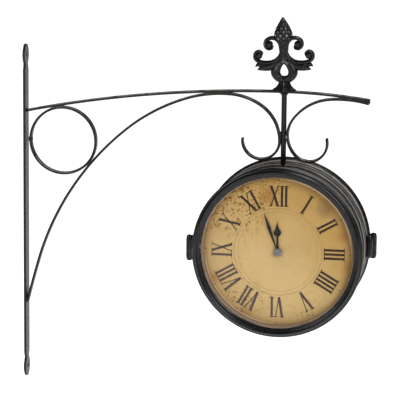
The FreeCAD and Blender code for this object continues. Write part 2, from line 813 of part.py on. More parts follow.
def make_bush_nut():
    corners = hexagon(hub_nut_flats, V(0, -nut_low, 0), V(1, 0, 0), V(0, 0, 1))
    nut = prism(corners, V(0, -hub_nut_thick, 0))
    return nut.cut(peg(bush_r, -1, 9, hole=True, sides=16))


# ---- shafts and hands --------------------------------------------------------------------------
def make_hour_pipe():
    pipe = peg(pipe_flange_r, flange_low, floor - end_play, sides=24)
    pipe = pipe.fuse(peg(pipe_r, flange_low, hour_hand_top + 0.1))
    return pipe.cut(peg(arbor_r + run_clear, -20, 20, hole=True)).removeSplitter()


def make_minute_arbor():
    arbor = peg(arbor_r, move_back + move_wall + 0.3, minute_hand_top + 0.2)
    collar_top = flange_low - end_play
    return arbor.fuse(peg(pipe_flange_r, collar_top - pipe_flange_thick, collar_top, sides=24)).removeSplitter()


def make_setting_knob():
    stem_end = move_back + move_wall + knob_stem_run
    outer = move_back - end_play
    knob = peg(knob_r, outer - knob_thick, outer, knob_z, sides=24)
    return knob.fuse(disc(knob_stem_r, outer - 1, stem_end, z=knob_z)).removeSplitter()


def blade(root, width, widest, length, low):
    """Leaf-shaped blade from the hub to its tip, pointing up; two arcs meet at the tip."""
    half = width / 2
    edges = []
    for way in (1, -1):
        edges.append(arc_xz((way * 0.9, root), (way * half, widest), (way * 0.25, length), low))
    edges.append(flat_line((-0.9, root), (0.9, root), low))
    edges.append(flat_line((-0.25, length), (0.25, length), low))
    return Part.Face(Part.Wire(Part.__sortEdges__(edges))).extrude(V(0, -hand_thick, 0))


def arc_xz(a, b, c, low):
    return Part.Arc(*[V(x, -low, z) for x, z in (a, b, c)]).toShape()


def flat_line(a, b, low):
    return Part.LineSegment(*[V(x, -low, z) for x, z in (a, b)]).toShape()


def make_hour_hand():
    low = hour_hand_low
    hub = peg(hour_hub_r, low, hour_hand_top, sides=24)
    stem = slab([(-0.9, 2), (0.9, 2), (0.9, hour_length * 0.5), (-0.9, hour_length * 0.5)], low, hour_hand_top)
    drop = peg(hour_length * 0.115, low, hour_hand_top, hour_length * 0.56, sides=16)
    point = slab([(-3.4, hour_length * 0.62), (3.4, hour_length * 0.62), (0.5, hour_length * 0.78), (0.3, hour_length),
                  (-0.3, hour_length), (-0.5, hour_length * 0.78)], low, hour_hand_top)
    hand = hub.fuse(stem).fuse(drop).fuse(point).removeSplitter().cut(peg(pipe_r, -9, 9, hole=True))
    hand.rotate(V(0, 0, 0), V(0, 1, 0), hour_deg)
    return hand


def make_minute_hand():
    low = minute_hand_low
    hand = peg(minute_hub_r, low, minute_hand_top, sides=24)
    hand = hand.fuse(blade(2, 4.4, minute_length * 0.42, minute_length, low))
    hand = hand.removeSplitter().cut(peg(arbor_r, -9, 9, hole=True))
    hand.rotate(V(0, 0, 0), V(0, 1, 0), minute_deg)
    return hand


def make_hub_cap():
    base = minute_hand_top
    cap = peg(cap_r, base, base + cap_thick, sides=24)
    return cap.cut(peg(arbor_r, base - 1, base + 0.25, hole=True))


# ================================ files =========================================================
def save(name, shape):
    shape.exportStep("parts/" + name + ".step")


def save_pair(name, shape):
    save("front_" + name, front(shape))
    save("rear_" + name, rear(shape))


def main():
    os.makedirs("parts", exist_ok=True)
    save("wall_bar", make_wall_bar())
    save("ring", make_ring())
    save("top_bar", make_top_bar())
    save("brace_scroll", make_brace_scroll())
    save("outer_scroll", make_outer_scroll())
    save("hanger_rod", make_hanger_rod())
    save("finial", make_finial())
    save("swivel_washer", make_swivel_washer())
    save("swivel_nuts", make_swivel_nuts())
    save("drum_shell", make_drum_shell())
    save("saddle_plate", make_saddle_plate())
    save_pair("case_leaf", make_case_leaf())
    save("hinge_pins", Part.makeCompound([front(make_hinge_pin()), rear(make_hinge_pin())]))
    save("catches", Part.makeCompound([front(make_catch()), rear(make_catch())]))
    save_pair("bezel", make_bezel())
    save_pair("glass", make_glass())
    save_pair("dial", make_dial())
    save_pair("dial_clips", make_dial_clips())
    save_pair("door_leaf", make_door_leaf())
    save_pair("movement_front", make_movement_front())
    save_pair("movement_back", make_movement_back())
    save_pair("step_motor", make_step_motor())
    save_pair("battery", make_battery())
    save_pair("battery_contacts", make_battery_contacts())
    save_pair("bush_nut", make_bush_nut())
    save_pair("hour_pipe", make_hour_pipe())
    save_pair("hour_hand", make_hour_hand())
    save_pair("minute_arbor", make_minute_arbor())
    save_pair("minute_hand", make_minute_hand())
    save_pair("hub_cap", make_hub_cap())
    save_pair("setting_knob", make_setting_knob())


main()
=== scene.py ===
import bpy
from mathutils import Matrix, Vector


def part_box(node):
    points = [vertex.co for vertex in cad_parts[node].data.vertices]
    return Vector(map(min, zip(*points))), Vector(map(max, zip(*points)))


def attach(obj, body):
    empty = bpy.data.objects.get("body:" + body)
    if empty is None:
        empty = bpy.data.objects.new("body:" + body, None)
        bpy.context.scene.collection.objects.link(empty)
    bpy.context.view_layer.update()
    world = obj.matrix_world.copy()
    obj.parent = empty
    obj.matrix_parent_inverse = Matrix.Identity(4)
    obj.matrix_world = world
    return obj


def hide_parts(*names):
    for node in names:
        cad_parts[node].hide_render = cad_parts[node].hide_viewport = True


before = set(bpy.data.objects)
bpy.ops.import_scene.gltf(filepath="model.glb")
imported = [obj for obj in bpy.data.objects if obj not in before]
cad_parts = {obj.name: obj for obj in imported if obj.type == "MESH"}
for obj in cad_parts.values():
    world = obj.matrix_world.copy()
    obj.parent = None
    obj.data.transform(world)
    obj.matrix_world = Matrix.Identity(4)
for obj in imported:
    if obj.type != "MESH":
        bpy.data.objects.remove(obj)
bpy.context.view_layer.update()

# %% [markdown]
# A double sided station clock hangs from a scrolled bracket. The CAD frame is loaded already, in
# metres, with the wall at x = 0 and the front dial facing -y. This lesson dresses that frame: each
# cell says what a piece is on the real clock, then makes it from a formula and gives it its finish.

# %% Tools, and the places that the frame fixes
import functools
import math

import bmesh
import bpy
import numpy as np
from mathutils import Matrix

MM = 0.001
POLE = 0.05  # a turned piece stops this short of its axis, where a small cap closes it


def middle(node):
    """Middle of a CAD node's box, in millimetres."""
    low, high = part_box(node)
    return (np.array(low) + np.array(high)) / 2 / MM


ROD_X = middle("hanger_rod")[0]
DRUM = middle("drum_shell")
CLOCK_Z = DRUM[2]
SEAM = abs(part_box("front_bezel")[1][1]) / MM
FACES = (("front", -1), ("rear", 1))


def seat(way):
    """Middle of the seam between the drum and a door; way is -1 in front and 1 behind."""
    return DRUM[0], way * SEAM, CLOCK_Z


def above_seam(node):
    """How far the back and the face of a front node stand out from the seam."""
    low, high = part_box(node)
    return abs(high[1]) / MM - SEAM, abs(low[1]) / MM - SEAM


print("rod at x", round(ROD_X, 1), "clock at z", round(CLOCK_Z, 1), "seam", round(SEAM, 2))

# %% [markdown]
# Every new piece is a grid of points worked out with numpy. One helper turns such a grid into a
# mesh: rows run one way round the piece, columns the other, and either way may close on itself.
# A value per point, for rubbed paint and painted light, goes along, so that the paint can be rubbed where edges stand
# proud.
# The same value also paints light: a painted highlight on proud and upward faces, and painted shade in hollows below
# zero.


# %% From a grid of points to a mesh
def spots_of(mesh):
    """A mesh's points, in metres."""
    spots = np.empty(len(mesh.vertices) * 3)
    mesh.vertices.foreach_get("co", spots)
    return spots.reshape(-1, 3)


def set_wear_and_light(mesh, values):
    mesh.attributes["wear_and_light"].data.foreach_set("value", values.astype(np.float32))


def make_mesh(name, points, faces, wear_and_light):
    """A smooth mesh from points in metres, with a value for each of rubbed paint and painted light."""
    mesh = bpy.data.meshes.new(name)
    mesh.from_pydata(points.tolist(), [], faces)
    mesh.polygons.foreach_set("use_smooth", np.ones(len(mesh.polygons), dtype=bool))
    mesh.attributes.new("wear_and_light", "FLOAT", "POINT")
    set_wear_and_light(mesh, wear_and_light)
    mesh.update()
    return mesh


def grid_mesh(name, points, wear_and_light=None, close_rows=False, close_columns=True, caps=True):
    """points has the shape (rows, columns, 3), in millimetres. Each small square of the grid is one face."""
    rows, columns, _ = points.shape
    index = np.arange(rows * columns).reshape(rows, columns)
    down = np.concatenate([index, index[:1]]) if close_rows else index
    if close_columns:
        down = np.concatenate([down, down[:, :1]], axis=1)
    quads = np.stack([down[:-1, :-1], down[:-1, 1:], down[1:, 1:], down[1:, :-1]], axis=-1).reshape(-1, 4)
    faces = quads.tolist()
    if caps and not close_rows:
        faces += [index[0][::-1].tolist(), index[-1].tolist()]
    values = np.zeros(rows * columns) if wear_and_light is None else np.broadcast_to(wear_and_light, (rows, columns)).reshape(-1)
    return make_mesh(name, points.reshape(-1, 3) * MM, faces, values)


def outward(mesh):
    """A closed mesh whose volume comes out negative is inside out, so its faces are turned."""
    solid = bmesh.new()
    solid.from_mesh(mesh)
    if solid.calc_volume(signed=True) < 0:
        mesh.flip_normals()
    solid.free()
    return mesh


def in_scene(name, data):
    thing = bpy.data.objects.new(name, data)
    bpy.context.scene.collection.objects.link(thing)
    return thing


def dress(node_name, material):
    """Gives a frame piece a finish and leaves its mesh alone."""
    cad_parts[node_name].data.materials.clear()
    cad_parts[node_name].data.materials.append(material)


def add(name, mesh, material, body, replaced=()):
    """Puts a mesh in the scene with its material, on its body, in place of the CAD nodes it stands for."""
    piece = in_scene(name, outward(mesh))
    piece.data.materials.append(material)
    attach(piece, body)
    if replaced:
        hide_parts(*replaced)
    return piece


def join_meshes(name, meshes):
    """One mesh from several, keeping their values of rubbed paint and painted light."""
    points, faces, wear_and_light, start = [], [], [], 0
    for part in meshes:
        outward(part)
        points.append(spots_of(part))
        values = np.empty(len(part.vertices), dtype=np.float32)
        part.attributes["wear_and_light"].data.foreach_get("value", values)
        wear_and_light.append(values)
        faces += [[v + start for v in p.vertices] for p in part.polygons]
        start += len(part.vertices)
    return make_mesh(name, np.concatenate(points), faces, np.concatenate(wear_and_light))


# %% [markdown]
# Materials are written as sums. A small class wraps a node's output, so that a mask can be added,
# multiplied and blended like a number while Blender builds the nodes behind it.


# %% Shader arithmetic
class Value:
    """The output of a node, with arithmetic."""

    def __init__(self, tree, socket):
        self.tree, self.socket = tree, socket

    def math(self, operation, *others):
        return node(self.tree, "ShaderNodeMath", {"operation": operation}, dict(enumerate((self, *others))))

    def __add__(self, other):
        return self.math("ADD", other)

    __radd__ = __add__

    def __mul__(self, other):
        return self.math("MULTIPLY", other)

    __rmul__ = __mul__

    def __sub__(self, other):
        return self.math("SUBTRACT", other)

    def __rsub__(self, other):
        return (self * -1.0) + other

    def step(self, low, high):
        """0 below low, 1 above high, and a smooth slope between them."""
        return node(self.tree, "ShaderNodeMapRange", {"interpolation_type": "SMOOTHSTEP"},
                    {"Value": self, "From Min": low, "From Max": high})

    def most(self, other):
        return self.math("MAXIMUM", other)


def node(tree, kind, settings, inputs, output=0):
    """One node of a kind, with its settings and the values or links of its inputs."""
    made = tree.nodes.new(kind)
    for key, value in settings.items():
        setattr(made, key, value)
    for key, value in inputs.items():
        socket = made.inputs[key]
        if isinstance(value, Value):
            tree.links.new(value.socket, socket)
        elif hasattr(socket, "default_value"):
            socket.default_value = value
    return Value(tree, made.outputs[output])


def blend(amount, first, second):
    """A colour between two colours: first at 0, second at 1."""
    tree = amount.tree
    made = tree.nodes.new("ShaderNodeMix")
    made.data_type = "RGBA"
    tree.links.new(amount.socket, made.inputs[0])
    for socket, colour in ((made.inputs[6], first), (made.inputs[7], second)):
        if isinstance(colour, Value):
            tree.links.new(colour.socket, socket)
        else:
            socket.default_value = (*colour, 1)
    return Value(tree, made.outputs[2])


def finish(name, colour, roughness=0.5, metallic=0.0, **fixed):
    """A new material with its plain values, and the tree and shader that a pattern is added to."""
    material = bpy.data.materials.new(name)
    material.use_nodes = True
    tree = material.node_tree
    shader = tree.nodes["Principled BSDF"]
    shader.inputs["Base Color"].default_value = (*colour, 1)
    shader.inputs["Roughness"].default_value = roughness
    shader.inputs["Metallic"].default_value = metallic
    for key, value in fixed.items():
        shader.inputs[key.replace("_", " ")].default_value = value
    return material, tree, shader


def feed(tree, shader, **links):
    """Links values to the shader's sockets that may vary over a surface."""
    for key, value in links.items():
        tree.links.new(value.socket, shader.inputs[key.replace("_", " ")])


def place(tree):
    """The point on the surface, in object coordinates."""
    return node(tree, "ShaderNodeTexCoord", {}, {}, "Object")


def axis(tree, k):
    """One coordinate of that point: 0 is x, 1 is y and 2 is z."""
    return node(tree, "ShaderNodeSeparateXYZ", {}, {0: place(tree)}, k)


def noise(tree, where, scale, detail=4.0, rough=0.55):
    return node(tree, "ShaderNodeTexNoise", {}, {"Vector": where, "Scale": scale, "Detail": detail,
                                                 "Roughness": rough})


# The value per point read here is rubbed paint. It is also painted highlight where high on proud and upward faces,
# and painted shade below zero.
def wear_and_light_field(tree):
    return node(tree, "ShaderNodeAttribute", {"attribute_name": "wear_and_light"}, {}, "Fac")


def bump(tree, height, strength, distance):
    return node(tree, "ShaderNodeBump", {}, {"Height": height, "Strength": strength, "Distance": distance})


def grained(name, colour, roughness, metallic, scale, vary, smooth, **fixed):
    """A plain finish whose roughness alone varies, from smooth to smooth + vary, in grains."""
    material, tree, shader = finish(name, colour, roughness, metallic, **fixed)
    feed(tree, shader, Roughness=noise(tree, place(tree), scale, 3.0) * vary + smooth)
    return material


# %% [markdown]
# The bracket is black enamel on hammered iron. Where hands and cloths have rubbed the edges, a
# warm grey-brown shows through in broken patches. Two noises make the patches, the value per point says
# where the edges are, and a third noise gives the skin its small dents. The same grey-brown is also painted
# on proud and upward faces as a painted highlight, and hollows are painted near-black as painted shade.


# %% Worn black enamel, with painted highlight and painted shade
def enamel_wear_and_light(name, dark, rubbed_and_highlight, rubbing, roughness, dent_scale=260.0, dents=0.35, stretch=(1.0, 1.0, 1.0),
                gloss=0.20):
    """Two colours blended by noise plus the per-point value of rubbed paint and painted light. The second is rubbed
    paint and also a painted highlight, and where the value is below zero the paint is painted near-black as painted
    shade. Rubbing shows more of the second, stretch draws the patches out along an axis, and gloss is how strongly
    the paint mirrors the room."""
    material, tree, shader = finish(name, dark, roughness, Specular_IOR_Level=gloss)
    where = node(tree, "ShaderNodeVectorMath", {"operation": "MULTIPLY"}, {0: place(tree), 1: stretch})
    patches = noise(tree, where, 95.0, 6.0, 0.62)
    broad = noise(tree, where, 18.0, 2.0)
    bend = wear_and_light_field(tree)
    # One mask for rubbed paint and for painted highlight on proud and upward faces.
    rub_and_highlight = bend.most(0.0) * 0.42 + patches * 0.75 + broad * 0.35
    rub_and_highlight_mask = rub_and_highlight.step(0.80 - rubbing, 1.02 - rubbing)
    # Painted shade: in hollows, where the value per point is below zero, the paint goes near-black.
    painted_shade = (bend * -1.0).step(0.08, 0.55)
    tone = blend(noise(tree, where, 420.0, 3.0).step(0.35, 0.7), dark, tuple(c * 1.9 + 0.004 for c in dark))
    paint = blend(painted_shade * 0.9, blend(rub_and_highlight_mask, tone, rubbed_and_highlight), (0.0012, 0.0012, 0.0012))
    feed(tree, shader, Base_Color=paint,
         Roughness=rub_and_highlight_mask * 0.16 + patches * 0.18 + painted_shade * 0.35 + (roughness - 0.1))
    dent = noise(tree, where, dent_scale, 5.0, 0.6)
    feed(tree, shader, Normal=bump(tree, dent, dents, 0.0012))
    return material


IRON = enamel_wear_and_light("worn_iron_painted_light", (0.0032, 0.0031, 0.0030), (0.150, 0.128, 0.112), 0.0, 0.40)
CAST = enamel_wear_and_light("worn_casting_painted_light", (0.0024, 0.0024, 0.0024), (0.19, 0.175, 0.16), 0.0, 0.32, 420.0, 0.25)
DRUM_PAINT = enamel_wear_and_light("drum_enamel", (0.016, 0.0145, 0.013), (0.165, 0.15, 0.136), 0.10, 0.36, 160.0, 0.18,
                         (1.0, 7.0, 1.0))
BEZEL_PAINT = enamel_wear_and_light("bezel_enamel", (0.0016, 0.0017, 0.0019), (0.21, 0.20, 0.185), 0.03, 0.24, 120.0, 0.14,
                           gloss=0.24)
BOSS = enamel_wear_and_light("boss_enamel", (0.0016, 0.0016, 0.0016), (0.05, 0.046, 0.042), -0.06, 0.34, 300.0, 0.30)

# %% [markdown]
# Bent strips. The smith bends flat bar along arcs, and each arc starts in the direction in which
# the last one ended. So a scroll is a list of radii and turns, walked from a starting point. The
# bar's section, a rectangle with soft corners, is then carried along that path.


# %% Walking along arcs
def walk(start, heading, arcs, step=1.2):
    """Points and left-hand normals in the xz plane along (radius, turn) arcs; plus turns are anticlockwise."""
    here, angle = np.array(start, float), math.radians(heading)
    points, normals = [], []
    for radius, turn in arcs:
        turn = math.radians(turn)
        side = math.copysign(1.0, turn)
        count = max(4, int(radius * abs(turn) / step))
        angles = angle + turn * np.linspace(0, 1, count + 1)
        left = np.stack([-np.sin(angles), np.cos(angles)], axis=1)
        centre = here + left[0] * side * radius
        run = centre - left * side * radius
        points.append(run[1:] if points else run)
        normals.append(left[1:] if normals else left)
        here, angle = run[-1], angles[-1]
    return np.concatenate(points), np.concatenate(normals)


def squared(wave, power):
    """A sine or cosine raised to 2/power, its sign kept. A power over 2 squares a circle up."""
    return np.sign(wave) * np.abs(wave) ** (2 / power)


def section(thick, wide, count=40, power=7.0):
    """A soft-cornered rectangle, from a squared cosine and sine. Wear is high at its corners."""
    turn = np.linspace(0, 2 * np.pi, count, endpoint=False) + np.pi / count
    across = squared(np.cos(turn), power) * thick / 2
    along = squared(np.sin(turn), power) * wide / 2
    corner = (np.abs(across) / (thick / 2)) * (np.abs(along) / (wide / 2))
    return across, along, corner ** 3


def strip_mesh(name, points, normals, thick=3.0, wide=8.0, round_ends=(True, True)):
    """The section carried along a path. At a round end its thickness shrinks as a half circle does."""
    across, along, corner = section(thick, wide)
    reach = np.concatenate([[0], np.cumsum(np.linalg.norm(np.diff(points, axis=0), axis=1))])
    size = np.ones(len(points))
    for is_round, gap in zip(round_ends, (reach, reach[-1] - reach)):
        if is_round:
            inwards = 1 - np.clip(gap / (thick / 2), 0, 1)
            size = np.minimum(size, np.sqrt(np.clip(1 - inwards ** 2, 0.0004, 1)))
    spots = np.zeros((len(points), len(across), 3))
    spots[..., 0] = points[:, None, 0] + normals[:, None, 0] * across * size[:, None]
    spots[..., 2] = points[:, None, 1] + normals[:, None, 1] * across * size[:, None]
    spots[..., 1] = along
    # Painted highlight: the side of the strip that faces up gets a high value and is painted lighter, as if lit from
    # above. The corners' value is rubbed paint.
    top_highlight = np.clip(normals[:, 1:] * across / (thick / 2), 0, 1)
    return grid_mesh(name, spots, corner * 0.8 + top_highlight * 0.7)


def from_end(points, normals, length, fine=9):
    """Adds closer points near the last end, for its rounding."""
    extra = points[-1] + (points[-2] - points[-1]) / np.linalg.norm(points[-2] - points[-1]) * \
        (length * (1 - np.sin(np.linspace(0, np.pi / 2, fine))))[:, None]
    keep = np.linalg.norm(points - points[-1], axis=1) > length
    keep[: len(points) // 2] = True
    last = np.repeat(normals[-1:], fine, axis=0)
    return np.concatenate([points[keep], extra]), np.concatenate([normals[keep], last])


# %% [markdown]
# The arm is two long arcs that meet level just past the hanger rod, so it leaves the wall rising
# and droops a little beyond the clock. The brace leaves the arm, passes under the ring and comes
# down to the wall bar. The scrolls are the same kind of path with tighter turns.

# %% Arm, brace, scrolls
THICK, WIDE, GAP = 3.0, 8.0, 0.02
TIP, ARM_STEP = THICK / 2, 3.0
ROD_R, ARM_REACH = 3.2, 98.8
CREST = np.array([ROD_X + 3.4, 160.0])
ARM_IN, ARM_OUT, WALL = 1457.0, 718.0, 3.0


def on_arm(radius, slope, drop):
    """A point on the arm's arc of a given slope, moved down by drop towards the arc's centre."""
    lean = math.radians(slope)
    out = np.array([-math.sin(lean), math.cos(lean)])
    return CREST + (out - np.array([0, 1])) * radius - drop * out


def arc_run(radius, first, last):
    """How far along x an arc runs while its slope goes from first to last."""
    return radius * (math.sin(math.radians(first)) - math.sin(math.radians(last)))


rise = math.degrees(math.asin((CREST[0] - WALL) / ARM_IN))
fall = math.degrees(math.asin((ARM_REACH - TIP) / ARM_OUT))
arm_points, arm_normals = walk(on_arm(ARM_IN, rise, 0), rise, [(ARM_IN, -rise), (ARM_OUT, -fall)], ARM_STEP)
overrun = arm_points[-1:] + (arm_points[-1:] - arm_points[-2:-1]) / ARM_STEP * TIP
arm_points = np.concatenate([arm_points, overrun])
arm_normals = np.concatenate([arm_normals, arm_normals[-1:]])
arm_points, arm_normals = from_end(arm_points, arm_normals, TIP)
arm = strip_mesh("arm", arm_points, arm_normals, THICK, WIDE, (False, True))
add("arm_strip", arm, IRON, "bracket", ["top_bar"])

# The brace touches the arm where the arm's slope is lean. Its neck is the arc whose radius brings the
# scroll to the rod, so it is worked out from the room that the arcs before it leave.
BRACE_TOP_R, NECK_ABOVE_R, INNER_CURL_R = 149.0, 74.1, 22.3
lean = 3.28
first, second = lean - 5.6, lean - 36.4
touch = on_arm(ARM_IN, lean, THICK + GAP)
rod_side = ROD_X - ROD_R - TIP - GAP
room = rod_side - touch[0] - arc_run(BRACE_TOP_R, lean, first) - arc_run(NECK_ABOVE_R, first, second)
neck = room / (math.sin(math.radians(second)) + 1)
curl_arcs = [(BRACE_TOP_R, -5.6), (NECK_ABOVE_R, -30.8), (neck, -90 - second), (INNER_CURL_R, -186.8)]
curl_points, curl_normals = walk(touch, lean, curl_arcs)
curl_points, curl_normals = from_end(curl_points, curl_normals, TIP)
brace_arcs = [(BRACE_TOP_R, 14.9), (224.0, 21.8), (337.05, 33.5), (1156.0, 8.0)]
brace_points, brace_normals = walk(touch, lean + 180, brace_arcs)
inside = brace_points[:, 0] > WALL - 0.01
brace_points, brace_normals = brace_points[inside], brace_normals[inside]
tail = brace_points[-1] + (brace_points[-1] - brace_points[-2]) * (brace_points[-1, 0] - WALL) / (
    brace_points[-2, 0] - brace_points[-1, 0])
brace_points = np.concatenate([brace_points, tail[None]])
brace_normals = np.concatenate([brace_normals, brace_normals[-1:]])
whole = np.concatenate([brace_points[::-1], curl_points[1:]])
whole_normals = np.concatenate([-brace_normals[::-1], curl_normals[1:]])
brace = strip_mesh("brace", whole, whole_normals, THICK, WIDE, (False, True))
add("brace_strip", brace, IRON, "bracket", ["brace_scroll"])

# The outer scroll does the same from the arm's other arc, and its middle arc is the one worked out.
OUTER_TOP_R, OUTER_LOW_R, OUTER_CURL_R = 137.0, 34.3, 22.1
lean = 6.42
touch = on_arm(ARM_OUT, -lean, THICK + GAP)
far_side = ROD_X + ROD_R + TIP + GAP
first, second = lean - 11.9, lean - 59.9
room = touch[0] - far_side - arc_run(OUTER_TOP_R, lean, first) - arc_run(OUTER_LOW_R, second, -90)
mid = room / (math.sin(math.radians(first)) - math.sin(math.radians(second)))
tail_points, tail_normals = walk(touch, -lean, [(OUTER_TOP_R, -7.7)])
outer_arcs = [(OUTER_TOP_R, 11.9), (mid, 48.0), (OUTER_LOW_R, 90 + second + 44.0), (OUTER_CURL_R, 153.8)]
out_points, out_normals = walk(touch, 180 - lean, outer_arcs)
whole = np.concatenate([tail_points[::-1], out_points[1:]])
whole_normals = np.concatenate([-tail_normals[::-1], out_normals[1:]])
whole, whole_normals = from_end(whole, whole_normals, TIP)
whole, whole_normals = from_end(whole[::-1], -whole_normals[::-1], TIP)
add("outer_strip", strip_mesh("outer", whole, whole_normals, THICK, WIDE), IRON, "bracket", ["outer_scroll"])
print("arm, brace and scrolls follow", len(arm_points), len(brace_points), len(out_points), "points")

# %% [markdown]
# The ring is the same bar bent right round, so its path closes. A blob of weld holds it to the
# wall bar.

# %% Ring
ring_low, ring_high = (np.array(c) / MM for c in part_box("ring"))
RING_R = (ring_high[2] - ring_low[2]) / 2
ring_centre = np.array([ring_high[0] - RING_R, (ring_high[2] + ring_low[2]) / 2])
RING_STEPS = 160
turn = np.linspace(0, 2 * np.pi, RING_STEPS, endpoint=False)
around = np.stack([np.cos(turn), np.sin(turn)], axis=1)
across, along, corner = section(THICK, WIDE)
reach = RING_R - THICK / 2 + across
ring = np.zeros((RING_STEPS, len(across), 3))
ring[..., 0] = ring_centre[0] + around[:, None, 0] * reach
ring[..., 2] = ring_centre[1] + around[:, None, 1] * reach
ring[..., 1] = along
# Painted highlight: the upward-facing side of the ring is painted lighter, as if lit from above.
ring_top_highlight = np.clip(around[:, 1:] * across / (THICK / 2), 0, 1)
ring_mesh = grid_mesh("ring", ring, corner * 0.8 + ring_top_highlight * 0.85, close_rows=True)


def blob(centre, half, power=2.4, count=28):
    """A rounded lump: the three half sizes times sines and cosines squared up by power."""
    up = np.linspace(-np.pi / 2, np.pi / 2, count // 2)[:, None]
    round_ = np.linspace(0, 2 * np.pi, count, endpoint=False)[None]
    x = squared(np.cos(up), power) * squared(np.cos(round_), power) * half[0]
    y = squared(np.cos(up), power) * squared(np.sin(round_), power) * half[1]
    z = squared(np.sin(up), power) * half[2] + 0 * round_
    return grid_mesh("blob", np.stack([x, y, z], axis=-1) + np.array(centre), None)


weld = blob((WALL + (ring_low[0] + 1.6), 0, ring_centre[1]), (2.6, 3.2, 4.0))
add("ring_bar", join_meshes("ring", [ring_mesh, weld]), IRON, "bracket", ["ring"])
print("ring of radius", round(RING_R, 1))


# %% [markdown]
# Turned pieces: the rod, the drum and the bezels are all an outline carried round an axis. The
# outline's corners are rounded first, by cutting each corner back and bridging it with a curve.


# %% Rounding and turning
def rounded(corners, cut, count=5):
    """Each corner b becomes a curve, (1-t)^2 a + 2t(1-t) b + t^2 c, with a and c lying cut away from it."""
    corners = np.array(corners, float)
    before, after = np.roll(corners, 1, axis=0), np.roll(corners, -1, axis=0)
    cut = np.broadcast_to(cut, len(corners))[:, None]

    def towards(other):
        way = other - corners
        length = np.linalg.norm(way, axis=1, keepdims=True)
        return corners + way / length * np.minimum(cut, length * 0.45)

    a, c = towards(before)[:, None], towards(after)[:, None]
    t = np.linspace(0, 1, count)[None, :, None]
    curve = (1 - t) ** 2 * a + 2 * t * (1 - t) * corners[:, None] + t ** 2 * c
    return curve.reshape(-1, 2)


def turned_y(name, outline, centre, wear_and_light=None, count=256, facing=-1):
    """(radius, depth) outline carried round the clock's axis; depth runs towards the reader."""
    turn = np.linspace(0, 2 * np.pi, count, endpoint=False)[:, None]
    radius, depth = outline[:, 0][None], outline[:, 1][None]
    x = centre[0] + np.cos(turn) * radius
    z = centre[2] + np.sin(turn) * radius
    y = centre[1] + facing * depth + 0 * turn
    return grid_mesh(name, np.stack([x, y, z], axis=-1), wear_and_light, close_rows=True)


def proud(outline, reach=3):
    """The outline's own bend: above 0 where it stands proud of its neighbours, below 0 in a hollow."""
    after, before = np.roll(outline, -reach, axis=0), np.roll(outline, reach, axis=0)
    size = np.clip(np.linalg.norm(outline - (before + after) / 2, axis=1) / 0.5, 0, 1)
    ahead, behind = after - outline, outline - before
    bend = behind[:, 0] * ahead[:, 1] - behind[:, 1] * ahead[:, 0]
    nxt = np.roll(outline, -1, axis=0)
    area = np.sum(outline[:, 0] * nxt[:, 1] - nxt[:, 0] * outline[:, 1])
    return size * np.sign(bend) * np.sign(area)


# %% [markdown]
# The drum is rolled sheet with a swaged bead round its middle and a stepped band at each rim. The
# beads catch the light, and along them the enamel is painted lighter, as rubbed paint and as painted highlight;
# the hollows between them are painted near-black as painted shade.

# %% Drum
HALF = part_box("drum_shell")[1][1] / MM
DRUM_R, INNER_R, BEAD_R, BAND_R = 98.6, 97.4, 100.8, 100.0
half_drum = [(BEAD_R - 0.5, 1.1), (DRUM_R - 0.6, 2.8), (DRUM_R - 0.6, 6.6), (DRUM_R + 0.5, 7.6),
             (DRUM_R + 0.5, 9.4), (DRUM_R - 0.6, 10.4), (DRUM_R - 0.6, 14.0), (DRUM_R + 0.7, 15.2),
             (DRUM_R + 0.7, 17.6), (DRUM_R - 0.5, 18.8), (DRUM_R - 0.3, 22.4), (BAND_R, 23.8),
             (BAND_R, 27.0), (BAND_R - 0.9, 28.2), (BAND_R - 0.7, HALF),
             (INNER_R, HALF)]
drum_corners = half_drum + [(r, -y) for r, y in reversed(half_drum)]
drum_outline = rounded(drum_corners, 0.7, 6)
# The beads' proud value paints them lighter, as rubbed paint and painted highlight, and the hollows get painted
# shade.
drum = turned_y("drum", drum_outline, (DRUM[0], 0, CLOCK_Z), proud(drum_outline))
add("drum_rolled", drum, DRUM_PAINT, "case", ["drum_shell"])
print("drum outline of", len(drum_outline), "points")

# %% [markdown]
# A door is a deep bezel with a skirt, an outer ridge, a valley and a rounded crest that rolls
# inwards to a narrow lip over the glass. The rear door is the same one, facing the other way.

# %% Bezels
bezel_corners = [(94.75, 0.0), (99.7, 0.0), (99.9, 4.6), (100.9, 5.6), (102.3, 6.8), (102.5, 8.6),
                 (101.7, 9.9), (100.0, 10.3), (99.3, 11.4), (98.8, 13.0), (97.6, 13.8), (96.4, 13.5),
                 (95.6, 12.2), (94.2, 11.5), (92.4, 11.2), (91.4, 10.4), (91.3, 8.5), (94.75, 8.5)]
bezel_outline = rounded(bezel_corners, 0.7, 6)
for face, way in FACES:
    # The ridge and crest are painted lighter, as rubbed paint and painted highlight, and the valley near-black as
    # painted shade.
    bezel = turned_y("bezel", bezel_outline, seat(way), proud(bezel_outline), facing=way)
    add(face + "_bezel_turned", bezel, BEZEL_PAINT, face + "_door", [face + "_bezel"])
print("bezel outline of", len(bezel_outline), "points")


# %% [markdown]
# The dial is aged paper: golden towards the top and right, paler in the middle, foxed with brown
# specks at the upper left and stained along its edge. All of it is one material that reads the
# place on the dial, in millimetres from its middle.


# %% Aged paper
def spot(u, v, at_u, at_v, size):
    """1 at a place on the dial, falling to 0 at size millimetres from it."""
    du, dv = u - at_u, v - at_v
    return 1.0 - (du * du + dv * dv).math("SQRT").step(0.0, size)


